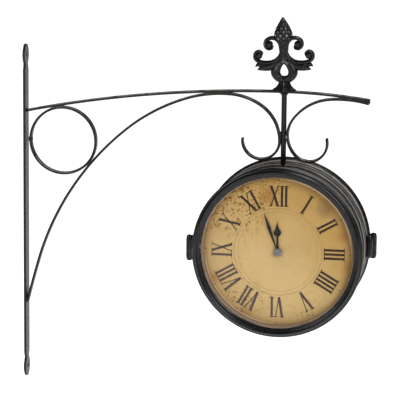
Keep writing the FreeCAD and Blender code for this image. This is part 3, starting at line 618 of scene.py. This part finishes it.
# Each is (right, up, size, strength), in millimetres from the dial's middle.
STAINS = ((-14.0, 68.0, 21.0, 0.9), (57.0, 52.0, 20.0, 0.55), (78.0, 22.0, 19.0, 0.7), (87.0, -16.0, 20.0, 0.85),
          (-38.0, -72.0, 22.0, 0.6), (-77.0, -34.0, 18.0, 0.6), (42.0, 76.0, 20.0, 0.6))
FOXED = ((-56.0, 54.0, 58.0, 1.0), (-24.0, 70.0, 40.0, 1.0), (-38.0, -60.0, 46.0, 0.55), (30.0, -80.0, 30.0, 0.4))
# Each is (cells to the metre, reach in a cell, strength, tone).
SPECKS = ((135.0, 0.15, 0.85, (0.18, 0.080, 0.010)), (200.0, 0.15, 0.80, (0.22, 0.105, 0.015)),
          (360.0, 0.12, 0.65, (0.20, 0.095, 0.012)))


def circle(radius, at, full, gone):
    """1 on a circle, falling to 0 on either side of it."""
    return 1.0 - (radius - at).math("ABSOLUTE").step(full, gone)


def cover(u, v, spots):
    """The strongest of several spots at each place."""
    return functools.reduce(Value.most, [spot(u, v, *where) * strength for *where, strength in spots])


def dial_paper(name, way):
    """Paper, warmed and stained by place, with specks and two thin circles, a pale line by the rim painted as a
    highlight on two quadrants, and a dark line painted as the lip's shadow.
    """
    material, tree, shader = finish(name, (0.62, 0.42, 0.16), 0.62, Specular_IOR_Level=0.25)
    where = place(tree)
    u, v = dial_place(tree, way)
    radius = (u * u + v * v).math("SQRT")
    cloud = noise(tree, where, 14.0, 4.0)
    fine = noise(tree, where, 160.0, 6.0, 0.65)
    warm = (u * 0.0055 + v * 0.0085 + cloud * 0.9 - 0.40).step(-0.25, 0.75)
    paper = blend(warm, (0.50, 0.345, 0.140), (0.385, 0.228, 0.055))
    paper = blend(spot(u, v, 2.0, -26.0, 58.0) * 0.8, paper, (0.555, 0.39, 0.170))
    paper = blend(fine.step(0.3, 0.75) * 0.25, paper, (0.42, 0.27, 0.10))
    wobble = noise(tree, where, 42.0, 5.0, 0.6)
    stains = cover(u, v, STAINS)
    paper = blend((stains * (wobble * 1.5 + 0.15)).step(0.18, 0.72) * 0.78, paper, (0.31, 0.135, 0.022))
    smudge = spot(u, v, 55.0, 55.0, 24.0) * (wobble * 1.2 + 0.2)
    paper = blend(smudge.step(0.15, 0.8) * 0.6, paper, (0.20, 0.125, 0.045))
    edge = (radius + cloud * 12.0).step(86.0, 99.0)
    paper = blend(edge * 0.55, paper, (0.30, 0.16, 0.055))
    fox = cover(u, v, FOXED).most(0.10)
    flat = node(tree, "ShaderNodeCombineXYZ", {}, {"X": u * 0.001, "Y": v * 0.001, "Z": way * 3.0})
    for size, reach, strength, tone in SPECKS:
        specks = node(tree, "ShaderNodeTexVoronoi", {"voronoi_dimensions": "2D"},
                      {"Vector": flat, "Scale": size}, "Distance")
        ragged = noise(tree, flat, size * 2.6, 4.0, 0.7)
        chosen = noise(tree, flat, size * 0.45, 2.0)
        near = 1.0 - (specks + (ragged - 0.5) * 0.35 + (0.5 - chosen) * 0.75).step(reach, reach + 0.06)
        paper = blend(near * (fox * 1.5).math("MINIMUM", 1.0) * strength, paper, tone)
    rings = circle(radius, 52.6, 0.2, 0.55).most(circle(radius, 48.0, 0.12, 0.45) * 0.8)
    paper = blend(rings * (fine * 0.8 + 0.45), paper, (0.24, 0.15, 0.06))
    # Painted highlight: a pale line at r = 88, on the upper right and lower left quadrants only, stands for the pan's
    # rim catching light beyond the lip.
    lit_quadrants = (u * v * 0.00026).step(-0.15, 0.6)
    paper = blend(circle(radius, 88.0, 0.35, 0.75) * lit_quadrants * 0.85, paper, (0.72, 0.56, 0.42))
    # Painted shadow: a dark line at r = 89.1 all round, the shade under the bezel's lip.
    paper = blend(circle(radius, 89.1, 0.15, 0.5) * 0.7, paper, (0.16, 0.09, 0.04))
    feed(tree, shader, Base_Color=paper, Roughness=fine * 0.2 + 0.5)
    feed(tree, shader, Normal=bump(tree, fine, 0.12, 0.0004))
    return material


def dial_place(tree, way):
    """Right and up on a dial, in millimetres from its middle, as its reader sees it."""
    return (axis(tree, 0) - ROD_X * MM) * (-way * 1000.0), (axis(tree, 2) - CLOCK_Z * MM) * 1000.0


def faded_ink(name, way):
    """Brown-black ink, greyer towards the lower left, worn through in grains."""
    material, tree, shader = finish(name, (0.040, 0.020, 0.011), 0.6, Specular_IOR_Level=0.2)
    u, v = dial_place(tree, way)
    grey = (u * -0.008 - v * 0.009 + 0.3).step(0.0, 1.0)
    fade = noise(tree, place(tree), 230.0, 5.0, 0.65).step(0.52, 0.76) * (grey * 0.3 + 0.25)
    ink = blend(grey, (0.026, 0.012, 0.006), (0.085, 0.060, 0.055))
    feed(tree, shader, Base_Color=blend(fade, ink, (0.26, 0.15, 0.06)))
    return material


# %% [markdown]
# The dial plate is a shallow pan. Its turned-up rim holds the glass and shows as a thin tan line
# inside the bezel's lip. The printed face is a disc whose grid runs out in rings from the bush.

# %% Dial pans
RIM, rim_tree, rim_shader = finish("rim_card", (0.30, 0.20, 0.10), 0.7)
rim_grain = noise(rim_tree, place(rim_tree), 300.0, 4.0)
feed(rim_tree, rim_shader, Base_Color=blend(rim_grain.step(0.35, 0.65), (0.33, 0.24, 0.178), (0.265, 0.188, 0.136)))
PLATE_TOP, RIM_TOP = 0.8, 6.5
for face, way in FACES:
    centre = seat(way)
    pan_corners = [(3.6, 0.0), (94.6, 0.0), (94.6, RIM_TOP), (90.4, RIM_TOP), (90.4, PLATE_TOP - 0.1),
                   (3.6, PLATE_TOP - 0.1)]
    pan = turned_y("pan", rounded(pan_corners, 0.25, 4), centre, facing=way)
    add(face + "_dial_pan", pan, RIM, face + "_door", [face + "_dial"])
    face_corners = [(3.6, PLATE_TOP - 0.1), (90.2, PLATE_TOP - 0.1), (90.2, PLATE_TOP), (3.6, PLATE_TOP)]
    paper = turned_y("paper", rounded(face_corners, 0.04, 2), centre, facing=way)
    add(face + "_dial_face", paper, dial_paper(face + "_aged_paper", way), face + "_door")
print("paper with", len(STAINS), "stains and", len(SPECKS), "sizes of speck")

# %% [markdown]
# Roman numerals stand with their feet towards the middle, thick strokes and thin ones with fine
# serifs, and four is written with four strokes as clockmakers do. Each letter is a few slanted
# bars, worked out flat, then turned to its hour and laid a hair above the paper.

# %% Numerals
THICK_STROKE, THIN_STROKE, SERIF = 2.85, 1.25, 0.95
NUMERAL_LOW, NUMERAL_HIGH = 55.0, 79.8


def bar_corners(x_low, x_high, width, low=0.0, high=1.0):
    """Four corners of a stroke from the foot x_low to the head x_high."""
    side = width / 2
    return [(x_low - side, low), (x_low + side, low), (x_high + side, high), (x_high - side, high)]


def letter(kind):
    """Strokes of one letter, feet at height 0 and head at height 1, and the room it takes."""
    def serif(x, width, height):
        half = SERIF / (NUMERAL_HIGH - NUMERAL_LOW)
        low, high = (0.0, half) if height == 0 else (1 - half, 1.0)
        return bar_corners(x, x, width, low, high)

    if kind == "I":
        return [bar_corners(0, 0, THICK_STROKE), serif(0, 6.2, 0), serif(0, 6.2, 1)], 5.0
    if kind == "V":
        return [bar_corners(0.3, -3.9, THICK_STROKE + 0.3), bar_corners(0.3, 4.2, THIN_STROKE), serif(-3.9, 5.4, 1),
                serif(4.2, 4.4, 1)], 12.4
    return [bar_corners(4.2, -4.2, THICK_STROKE + 0.3), bar_corners(-4.4, 4.4, THIN_STROKE), serif(-4.2, 5.2, 1),
            serif(4.4, 4.4, 1), serif(4.2, 5.2, 0), serif(-4.4, 4.4, 0)], 12.8


def numeral_strokes(text):
    """All strokes of a numeral, centred: an array (strokes, 4, 2)."""
    letters = [letter(kind) for kind in text]
    total = sum(room for _, room in letters)
    start, strokes = -total / 2, []
    for shapes, room in letters:
        strokes += [[(x + start + room / 2, h) for x, h in shape] for shape in shapes]
        start += room
    return np.array(strokes)


def flat_pieces(name, quads, centre, way, low, high):
    """Thin slabs from flat quads (pieces, 4, 2) in dial coordinates (right, up), between two depths."""
    count = len(quads)
    x = DRUM[0] - way * quads[..., 0]
    z = CLOCK_Z + quads[..., 1]
    bottom = np.stack([x, np.full_like(x, centre[1] + way * low), z], axis=-1)
    top = np.stack([x, np.full_like(x, centre[1] + way * high), z], axis=-1)
    points = np.concatenate([bottom, top], axis=1).reshape(-1, 3)
    base = np.array([[0, 1, 2, 3], [7, 6, 5, 4], [0, 4, 5, 1], [1, 5, 6, 2], [2, 6, 7, 3], [3, 7, 4, 0]])
    faces = (base[None] + (np.arange(count) * 8)[:, None, None]).reshape(-1, 4)
    mesh = bpy.data.meshes.new(name)
    mesh.from_pydata((points * MM).tolist(), [], faces.tolist())
    mesh.update()
    return mesh


def upright(strokes, hour):
    """Turns strokes to an hour: height runs outwards along the hour's spoke."""
    spoke = math.radians(30 * hour)
    reach = NUMERAL_LOW + strokes[..., 1] * (NUMERAL_HIGH - NUMERAL_LOW)
    right = strokes[..., 0] * np.cos(spoke) + reach * np.sin(spoke)
    up = -strokes[..., 0] * np.sin(spoke) + reach * np.cos(spoke)
    return np.stack([right, up], axis=-1)


HOURS = ["XII", "I", "II", "III", "IIII", "V", "VI", "VII", "VIII", "IX", "X", "XI"]
numerals = np.concatenate([upright(numeral_strokes(text), hour) for hour, text in enumerate(HOURS)])


def round_dot(at, radius, sides=16):
    """A dot as a fan of thin wedges (sides, 4, 2), each a quad with one corner in the middle twice over."""
    turn = np.linspace(0, 2 * np.pi, sides + 1)
    rim = np.array(at) + radius * np.stack([np.cos(turn), np.sin(turn)], axis=1)
    half = np.array(at) + radius * 0.02 * np.stack([np.cos(turn), np.sin(turn)], axis=1)
    return np.stack([half[:-1], rim[:-1], rim[1:], half[1:]], axis=1)


spokes = np.radians(30 * np.arange(12))
DOT_AT, DOT_R = 86.5, 0.85
PRINT = (PLATE_TOP + 0.01, PLATE_TOP + 0.06)
dots = np.concatenate([round_dot((DOT_AT * math.sin(a), DOT_AT * math.cos(a)), DOT_R) for a in spokes])
for face, way in FACES:
    centre = seat(way)
    print_mesh = flat_pieces("print", np.concatenate([numerals, dots]), centre, way, *PRINT)
    add(face + "_numerals", print_mesh, faded_ink(face + "_faded_ink", way), face + "_door")
print("numerals:", len(numerals), "strokes a dial")

# %% [markdown]
# The hands are stamped sheet: a leaf for the minutes and a spade for the hours. A blade is a row of
# half-widths along its length, crowned a little so that light runs along it.

# %% Hands
HAND = grained("hand_black", (0.004, 0.0036, 0.0036), 0.45, 0.0, 500.0, 0.2, 0.32, Specular_IOR_Level=0.2)
MINUTE_TURN = -20.0


def blade(name, reach, half, centre, way, low, high, degrees, columns=17):
    """Half-widths along the length, from side to side with a low crown, closed underneath."""
    side = np.linspace(-1, 1, columns)
    right = half[:, None] * side[None]
    up = reach[:, None] + 0 * right
    crown = low + (high - low) * (0.55 + 0.45 * (1 - side[None] ** 2)) + 0 * right
    flat = np.full_like(right, low)
    right = np.concatenate([right, right[:, ::-1]], axis=1)
    up = np.concatenate([up, up[:, ::-1]], axis=1)
    depth = np.concatenate([crown, flat], axis=1)
    turn = math.radians(degrees)
    u = right * np.cos(turn) + up * np.sin(turn)
    v = -right * np.sin(turn) + up * np.cos(turn)
    points = np.stack([DRUM[0] - way * u, centre[1] + way * depth, CLOCK_Z + v], axis=-1)
    return grid_mesh(name, points)


leaf_reach = np.linspace(2.0, 50.0, 120)
leaf_half = np.where(leaf_reach < 31, 0.75 + 1.3 * np.clip((leaf_reach - 3) / 28, 0, 1) ** 1.6,
                     0.12 + 1.93 * np.clip((50 - leaf_reach) / 19, 0, 1) ** 0.9)
spade_reach = np.linspace(2.0, 37.9, 140)
drop = np.sqrt(np.clip(4.4 ** 2 - (spade_reach - 23.2) ** 2, 0, None))
spear = np.where(spade_reach > 25.5, 3.3 * np.clip((38.2 - spade_reach) / 12.7, 0, 1) ** 1.8, 0)
spade_half = np.maximum(np.maximum(drop, spear), np.where(spade_reach < 23, 1.1, 0.12))
# Each is (hand, shape, reach, half-widths, the heights of its back and face, bore, hub, turn).
HANDS = (("hour", "spade", spade_reach, spade_half, above_seam("front_hour_hand"), 1.9, 4.4, MINUTE_TURN / 12),
         ("minute", "leaf", leaf_reach, leaf_half, above_seam("front_minute_hand"), 1.0, 3.6, MINUTE_TURN))
for face, way in FACES:
    centre = seat(way)
    for hand, shape, reach, half, (low, high), bore, hub_r, turned in HANDS:
        hub = rounded([(bore, low), (hub_r, low), (hub_r, high), (bore, high)], 0.12, 3)
        made = join_meshes(hand, [blade(shape, reach, half, centre, way, low, high, turned),
                                  turned_y("hub", hub, centre, count=64, facing=way)])
        add(f"{face}_{hand}_{shape}", made, HAND, f"{face}_{hand}", [f"{face}_{hand}_hand"])

CAP = grained("cap_grey", (0.135, 0.125, 0.135), 0.5, 0.3, 800.0, 0.25, 0.3)
cap_low, _ = above_seam("front_hub_cap")
for face, way in FACES:
    centre = seat(way)
    arc = np.linspace(0, np.pi / 2, 9)
    dome = [(POLE, cap_low)] + [(4.8 * math.cos(a) ** 0.6 + 0.02, cap_low + 0.15 + 0.85 * math.sin(a)) for a in arc]
    add(face + "_cap_domed", turned_y("cap", np.array(dome), centre, count=64, facing=way), CAP, face + "_minute",
        [face + "_hub_cap"])
print("hands reach", leaf_reach[-1], "and", spade_reach[-1], "mm")

# %% [markdown]
# The glass is a flat clear disc. It is nearly all see-through, with just enough gloss to be there.

# %% Glass
GLASS, _, _ = finish("clear_glass", (0.02, 0.022, 0.022), 0.03, Alpha=0.05)
for face, _ in FACES:
    dress(face + "_glass", GLASS)

# %% [markdown]
# The rod is round bar, flared under the arm, where the finial's stud screws into it. Below the drum's
# top it steps down to the thinner shank that the case turns on.

# %% Hanger rod
rod_low, rod_high = (np.array(c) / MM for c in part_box("hanger_rod"))
rod_top = rod_high[2]


def turned_z(name, outline, centre, wear_and_light=None, count=48):
    """(radius, height) outline carried round an upright axis."""
    turn = np.linspace(0, 2 * np.pi, count, endpoint=False)[:, None]
    radius, height = outline[:, 0][None], outline[:, 1][None]
    x, y = centre[0] + np.cos(turn) * radius, centre[1] + np.sin(turn) * radius
    return grid_mesh(name, np.stack([x, y, height + 0 * turn], axis=-1), wear_and_light, close_rows=True)


shoulder = CLOCK_Z + BEAD_R + 0.3
heights = np.linspace(0, 1, 9)
flare = [(ROD_R + 2.8 * h ** 2.2, rod_top - 4.5 * (1 - h)) for h in heights]
SHANK_R = 2.5
rod_outline = np.array([(POLE, rod_low[2]), (SHANK_R, rod_low[2]), (SHANK_R, shoulder), (ROD_R, shoulder + 0.01),
                        (ROD_R, shoulder + 20), (ROD_R, rod_top - 30)] + flare + [(POLE, rod_top)])
add("rod_round", turned_z("rod", rod_outline, (ROD_X, 0), 0.35), IRON, "bracket", ["hanger_rod"])
print("rod from", round(rod_low[2], 1), "to", round(rod_top, 1))

# %% [markdown]
# The finial is cast. Its leaves are strands whose thickness changes along a smooth curve: each one
# is drawn through a few rows of place and thickness, the left one as a mirror of the right. A bud
# covered in scales stands on top, and a four-sided foot below.


# %% Finial
def spline(rows, count, closed=False):
    """Catmull-Rom: each span leaves and arrives along the line that joins the rows on either side."""
    rows = np.array(rows, float)
    if closed:
        ring = np.concatenate([rows[-1:], rows, rows[:2]])
    else:
        ring = np.concatenate([2 * rows[:1] - rows[1:2], rows, 2 * rows[-1:] - rows[-2:-1]])
    spans = len(ring) - 3
    t = np.linspace(0, spans, count, endpoint=not closed)
    k = np.minimum(t.astype(int), spans - 1)
    u = (t - k)[:, None]
    a, b, c, d = (ring[k + i] for i in range(4))
    return 0.5 * (2 * b + (c - a) * u + (2 * a - 5 * b + 4 * c - d) * u ** 2 + (3 * b - a - 3 * c + d) * u ** 3)


FOOT_HEIGHT, FINIAL_LEAN, FINIAL_BASE = 10.5, math.radians(-2.4), 161.51


def on_finial(x, y, z, leaning=True):
    """From the finial's own upright place to the frame, with its small lean towards the wall."""
    if leaning:
        x, z = (x * math.cos(FINIAL_LEAN) + (z - FOOT_HEIGHT) * math.sin(FINIAL_LEAN),
                FOOT_HEIGHT - x * math.sin(FINIAL_LEAN) + (z - FOOT_HEIGHT) * math.cos(FINIAL_LEAN))
    return np.stack([x + ROD_X, y + 0 * x, z + FINIAL_BASE], axis=-1)


def strand(rows, count=72, sides=24, power=2.0, closed=False, flip=1):
    """Rows are (x, z, half width, half depth). The section is a cosine across and a sine in depth."""
    curve = spline(rows, count, closed)
    line = curve[:, :2]
    along = np.roll(line, -1, 0) - np.roll(line, 1, 0) if closed else np.gradient(line, axis=0)
    along /= np.linalg.norm(along, axis=1, keepdims=True)
    turn = np.linspace(0, 2 * np.pi, sides, endpoint=False)[None]
    out = squared(np.cos(turn), power) * np.abs(curve[:, 2:3])
    deep = squared(np.sin(turn), power) * np.abs(curve[:, 3:4])
    x = (curve[:, :1] - along[:, 1:] * out) * flip
    z = curve[:, 1:2] + along[:, :1] * out
    # Rubbed paint on the front and back crests, which also stands as a painted highlight there. The upward-facing
    # side is painted lighter as a painted highlight from above.
    crest = np.abs(np.sin(turn)) ** 10 * 0.45 + np.clip(along[:, :1] * np.cos(turn), 0, 1) ** 3 * 0.35
    return grid_mesh("strand", on_finial(x, deep, z), np.broadcast_to(crest, x.shape), close_rows=closed)


def ball(x, z, half, depth, flip=1):
    """A rounded boss at the heart of a curl."""
    lump = blob((0, 0, 0), (half, depth, half), 2.3, 24)
    spots = spots_of(lump) / MM
    moved = on_finial(spots[:, 0] + x * flip, spots[:, 1], spots[:, 2] + z)
    lump.vertices.foreach_set("co", (moved * MM).reshape(-1))
    # The boss's front and back are painted lighter, as rubbed paint and painted highlight.
    set_wear_and_light(lump, np.clip(np.abs(spots[:, 1]) / depth, 0, 1) ** 8 * 0.4)
    return lump


# Each row is (x, z, half width, half depth), from the finial's foot.
UPPER = [(2.4, 30, 0.8, 3.0), (2.9, 38, 2.2, 4.0), (3.1, 48, 2.5, 4.2), (4.3, 56.0, 2.7, 4.4),
         (8.6, 61.2, 2.7, 4.8), (14.8, 62.4, 2.5, 5.0), (20.6, 59.4, 2.3, 5.2), (22.0, 53.8, 2.1, 5.3),
         (18.8, 49.6, 1.8, 5.3), (14.0, 49.8, 1.4, 5.2), (12.4, 53.2, 0.4, 5.0)]
SIDE = [(4.0, 46, 0.8, 3.0), (6.4, 39.4, 2.0, 3.6), (12.6, 34.6, 2.4, 4.0), (21.0, 33.2, 2.4, 4.4),
        (28.8, 34.2, 2.6, 4.8), (34.0, 38.0, 2.3, 5.0), (34.2, 43.8, 2.1, 5.2), (30.2, 46.9, 1.8, 5.2),
        (26.0, 44.6, 1.4, 5.0), (25.9, 41.2, 0.4, 4.6)]
LEAF = [(3.0, 42, 1.0, 2.6), (7.6, 35.0, 3.6, 3.8), (14.6, 29.4, 4.9, 4.6), (21.6, 27.6, 4.6, 4.4),
        (27.6, 26.2, 2.8, 3.4), (32.2, 24.4, 0.3, 1.6)]
SPUR = [(20.0, 31.0, 0.6, 2.0), (26.0, 30.8, 2.8, 3.9), (31.0, 30.6, 2.6, 3.6), (34.6, 28.6, 0.3, 1.6)]
PEAR = [(0, 13.2, 4.2, 4.8), (6.8, 15.0, 4.9, 5.2), (10.4, 21.4, 5.8, 5.6), (8.2, 28.2, 5.2, 5.4),
        (3.8, 33.4, 4.2, 5.0), (0, 35.2, 3.8, 4.8), (-3.8, 33.4, 4.2, 5.0), (-8.2, 28.2, 5.2, 5.4),
        (-10.4, 21.4, 5.8, 5.6), (-6.8, 15.0, 4.9, 5.2)]
STEM = [(0, 33, 1.6, 3.6), (0, 38, 4.4, 5.4), (0, 47, 4.9, 5.6), (0, 55, 5.4, 5.4), (0, 60.5, 7.0, 6.8),
        (0, 63, 3.0, 3.0)]
finial_parts = [strand(PEAR, 96, closed=True), strand(STEM, power=1.5)]
for flip in (1, -1):
    finial_parts += [strand(UPPER, 110, flip=flip), strand(SIDE, 100, flip=flip),
                     strand(LEAF, power=1.6, flip=flip), strand(SPUR, 40, power=1.6, flip=flip),
                     ball(17.0, 54.6, 4.4, 5.9, flip), ball(29.8, 41.6, 4.2, 5.6, flip)]
levels = np.linspace(59.5, 87.5, 84)
bud_r = np.interp(levels, [59.5, 60.6, 62.5, 65.0, 67.4, 70.5, 75.0, 80.0, 84.0, 86.4, 87.5],
                  [7.4, 9.2, 10.6, 11.2, 11.2, 10.4, 8.4, 5.6, 3.0, 1.4, 0.1])
turn = np.linspace(0, 2 * np.pi, 108, endpoint=False)[None]
rising = (levels[:, None] - 59.5) / 28.0
net = np.abs(np.sin(4.5 * turn + 10.5 * rising ** 0.85)) * np.abs(np.sin(4.5 * turn - 10.5 * rising ** 0.85))
bud_r = bud_r[:, None] * (0.93 + 0.07 * net ** 0.6) - 0.25 * (1 - net)
bud_r = np.maximum(bud_r, 0.08)
bud = on_finial(np.cos(turn) * bud_r, np.sin(turn) * bud_r, levels[:, None] + 0 * turn)
# The raised scales are painted lighter, as rubbed paint and painted highlight.
finial_parts.append(grid_mesh("bud", bud, net ** 1.2 * 1.0))
foot_levels = np.array([0, 0.8, 1.6, 3.2, 5.0, 7.0, 9.0, 10.8, 11.6])[:, None]
foot_half = np.array([14.2, 14.2, 13.3, 11.0, 9.2, 7.9, 7.2, 6.9, 5.5])[:, None]
turn = np.linspace(0, 2 * np.pi, 64, endpoint=False)[None]
DIAMOND = 1.12
foot = on_finial(squared(np.cos(turn), DIAMOND) * foot_half, squared(np.sin(turn), DIAMOND) * foot_half,
                 foot_levels + 0 * turn, False)
edge = np.abs(np.cos(2 * turn)) ** 10 * 0.8
finial_parts.append(grid_mesh("foot", foot, np.broadcast_to(edge, foot.shape[:2])))
add("finial_cast", join_meshes("finial", finial_parts), CAST, "bracket", ["finial"])
print("finial of", len(finial_parts), "strands and lumps")

# %% [markdown]
# The strips are welded where they touch: at the rod, under the arm and at the arm's tip. A weld is a
# small lump under the same paint. One of them, in front at the rod's right, is paler than the rest.

# %% Welds
tip = (arm_points[-1] + tail_points[-1]) / 2
welds = [blob((ROD_X + 3.9, -3.0, 106.0), (1.4, 1.4, 2.6)), blob((ROD_X - 3.9, -2.9, 106.0), (1.6, 1.5, 5.5)),
         blob((ROD_X + 3.9, 2.9, 106.0), (1.6, 1.5, 5.5)), blob((ROD_X - 3.9, 2.9, 106.0), (1.6, 1.5, 5.5)),
         blob((399.6, 0, 153.9), (5.5, 3.0, 1.0)), blob((236.6, 0, 156.2), (5.5, 3.0, 1.0)),
         blob((tip[0] - 1.8, 0, tip[1]), (2.4, 3.4, 2.4))]
for lump, paleness in zip(welds, (1.2, 0.2, 0.2, 0.2, 0.2, 0.2, 0.5)):
    set_wear_and_light(lump, np.full(len(lump.vertices), paleness))
add("weld_beads", join_meshes("welds", welds), IRON, "bracket")

# %% [markdown]
# Each door hangs on a barrel hinge at the case's side: front door on the left, rear door on the
# right. The middle knuckle belongs to the case and the outer two, which taper, to the door.

# %% Hinges
KNUCKLE_R = 4.0
for face, way in FACES:
    low, high = (np.array(c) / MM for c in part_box(face + "_door_leaf"))
    axis_x = low[0] + KNUCKLE_R if way < 0 else high[0] - KNUCKLE_R
    inwards = -way
    middle_outline = rounded([(0.05, -5.7), (KNUCKLE_R, -5.7), (KNUCKLE_R, 5.7), (0.05, 5.7)], 0.5, 5)
    middle_outline[:, 1] += CLOCK_Z
    middle_knuckle = turned_z("knuckle", middle_outline, (axis_x, way * SEAM))
    case_plate = blob((axis_x + inwards * 4.4, way * (SEAM - 6.6), CLOCK_Z), (4.6, 6.2, 14.0), 3.4, 40)
    add(face + "_case_hinge", join_meshes("case_hinge", [middle_knuckle, case_plate]), BOSS, "case",
        [face + "_case_leaf"])
    door_parts = [blob((axis_x + inwards * 4.0, way * (SEAM + 3.9), CLOCK_Z), (4.0, 3.5, 13.8), 2.2, 40)]
    for end in (1, -1):
        tapered = [(POLE, 6.1), (KNUCKLE_R, 6.1), (KNUCKLE_R, 11.0), (KNUCKLE_R * 0.72, 15.2), (POLE, 16.0)]
        outline = rounded(tapered, 0.5, 5)
        outline[:, 1] = CLOCK_Z + end * outline[:, 1]
        door_parts.append(turned_z("knuckle", outline, (axis_x, way * SEAM)))
    add(face + "_door_hinge_leaf", join_meshes("door_hinge", door_parts), BOSS, face + "_door", [face + "_door_leaf"])
    print(face, "hinge at x", round(axis_x, 1))

# %% [markdown]
# What is left shows only with a door open, or is a plain enough shape already. These pieces keep the
# CAD's own meshes and get a finish: plated steel, brass, moulded plastic, a cell's sleeve and a board.

# %% Everything else that stays as the frame has it
STEEL = grained("plated_steel", (0.42, 0.42, 0.43), 0.35, 1.0, 600.0, 0.25, 0.25)
BRASS = grained("turned_brass", (0.62, 0.45, 0.18), 0.3, 1.0, 700.0, 0.25, 0.2)
NATURAL = grained("natural_plastic", (0.75, 0.74, 0.68), 0.4, 0.0, 500.0, 0.2, 0.3)
MOULDED, moulded_tree, moulded_shader = finish("moulded_black", (0.02, 0.02, 0.021), 0.55)
moulded_grain = noise(moulded_tree, place(moulded_tree), 900.0, 3.0)
feed(moulded_tree, moulded_shader, Roughness=moulded_grain * 0.2 + 0.45,
     Normal=bump(moulded_tree, moulded_grain, 0.15, 0.0003))
CELL, cell_tree, cell_shader = finish("cell_sleeve", (0.05, 0.16, 0.10), 0.35)
cell_band = axis(cell_tree, 0).step(ROD_X * MM + 0.010, ROD_X * MM + 0.0102)
feed(cell_tree, cell_shader, Base_Color=blend(cell_band, (0.04, 0.14, 0.09), (0.55, 0.42, 0.2)))
BOARD, board_tree, board_shader = finish("coil_and_board", (0.03, 0.16, 0.08), 0.45)
board_grain = noise(board_tree, place(board_tree), 350.0, 3.0)
feed(board_tree, board_shader, Base_Color=blend(board_grain.step(0.45, 0.55), (0.03, 0.15, 0.07), (0.30, 0.14, 0.05)))
PLAIN = {"wall_bar": IRON, "swivel_washer": STEEL, "swivel_nuts": STEEL, "saddle_plate": DRUM_PAINT,
         "hinge_pins": STEEL, "catches": STEEL}
for face, _ in FACES:
    for piece, material in (("dial_clips", STEEL), ("movement_front", MOULDED), ("movement_back", MOULDED),
                            ("step_motor", BOARD), ("battery", CELL), ("battery_contacts", STEEL),
                            ("bush_nut", BRASS), ("hour_pipe", NATURAL), ("minute_arbor", NATURAL),
                            ("setting_knob", MOULDED)):
        PLAIN[face + "_" + piece] = material
for name, material in PLAIN.items():
    dress(name, material)
print(len(PLAIN), "frame pieces keep their own shape")

# %% [markdown]
# The clock is photographed against plain white, a little from its right and from above, with soft
# light. A pale floor far below fills the whole background at this angle.

# %% Floor, light and camera
FLOOR, _, floor_shader = finish("pale_floor", (0.90, 0.90, 0.90), 0.9)
floor_shader.inputs["Emission Color"].default_value = (1, 1, 1, 1)
floor_shader.inputs["Emission Strength"].default_value = 1.0
floor_mesh = bpy.data.meshes.new("floor")
FAR, FLOOR_Z = 30.0, -0.75
corners = [(-FAR, -FAR, FLOOR_Z), (FAR, -FAR, FLOOR_Z), (FAR, FAR, FLOOR_Z), (-FAR, FAR, FLOOR_Z)]
floor_mesh.from_pydata(corners, [], [(0, 1, 2, 3)])
floor = in_scene("floor", floor_mesh)
floor.data.materials.append(FLOOR)

world = bpy.data.worlds.new("studio")
bpy.context.scene.world = world
world.use_nodes = True
world.node_tree.nodes["Background"].inputs[0].default_value = (0.92, 0.96, 1.0, 1)
world.node_tree.nodes["Background"].inputs[1].default_value = 0.12


def softbox(name, here, target, size, power, colour=(1, 1, 1)):
    """A square lamp that faces a target."""
    lamp = bpy.data.lights.new(name, "AREA")
    lamp.shape, lamp.size, lamp.energy, lamp.color = "SQUARE", size, power, colour
    holder = in_scene(name, lamp)
    here, aim = np.array(here, float), np.array(target, float)
    set_axes(holder, here, (here - aim) / np.linalg.norm(here - aim))


def set_axes(thing, here, back, roll=0.0):
    """Puts a camera or lamp at a spot, looking against back, turned by roll."""
    right = np.cross((0, 0, 1), back)
    right /= np.linalg.norm(right)
    up = np.cross(back, right)
    c, s = math.cos(roll), math.sin(roll)
    right, up = c * right + s * up, c * up - s * right
    thing.matrix_world = Matrix([[right[k], up[k], back[k], here[k]] for k in range(3)] + [[0, 0, 0, 1]])


AIM = (0.25, 0.0, 0.0)
softbox("key", (2.0, -1.9, 1.5), AIM, 1.2, 62.0)
softbox("fill", (-1.3, -2.4, 1.0), AIM, 1.2, 30.0, (0.93, 0.96, 1.0))
softbox("top", (0.9, 0.5, 2.2), AIM, 1.2, 46.0)

camera_data = bpy.data.cameras.new("camera")
camera = in_scene("camera", camera_data)
AZIMUTH, ELEVATION, ROLL, AWAY = math.radians(10.46), math.radians(11.57), math.radians(0.58), 3.0
TARGET = np.array([0.2163, 0.0, 0.02447])
back = np.array([math.sin(AZIMUTH) * math.cos(ELEVATION), -math.cos(AZIMUTH) * math.cos(ELEVATION),
                 math.sin(ELEVATION)])
set_axes(camera, TARGET + back * AWAY, back, ROLL)
SENSOR, PIXEL, PIXELS = 36.0, 1.2, 400
camera_data.sensor_width = SENSOR
camera_data.lens = SENSOR * (AWAY * 1000 / PIXEL) / PIXELS
camera_data.clip_end = 100.0
bpy.context.scene.camera = camera
bpy.context.scene.view_settings.view_transform = "Standard"
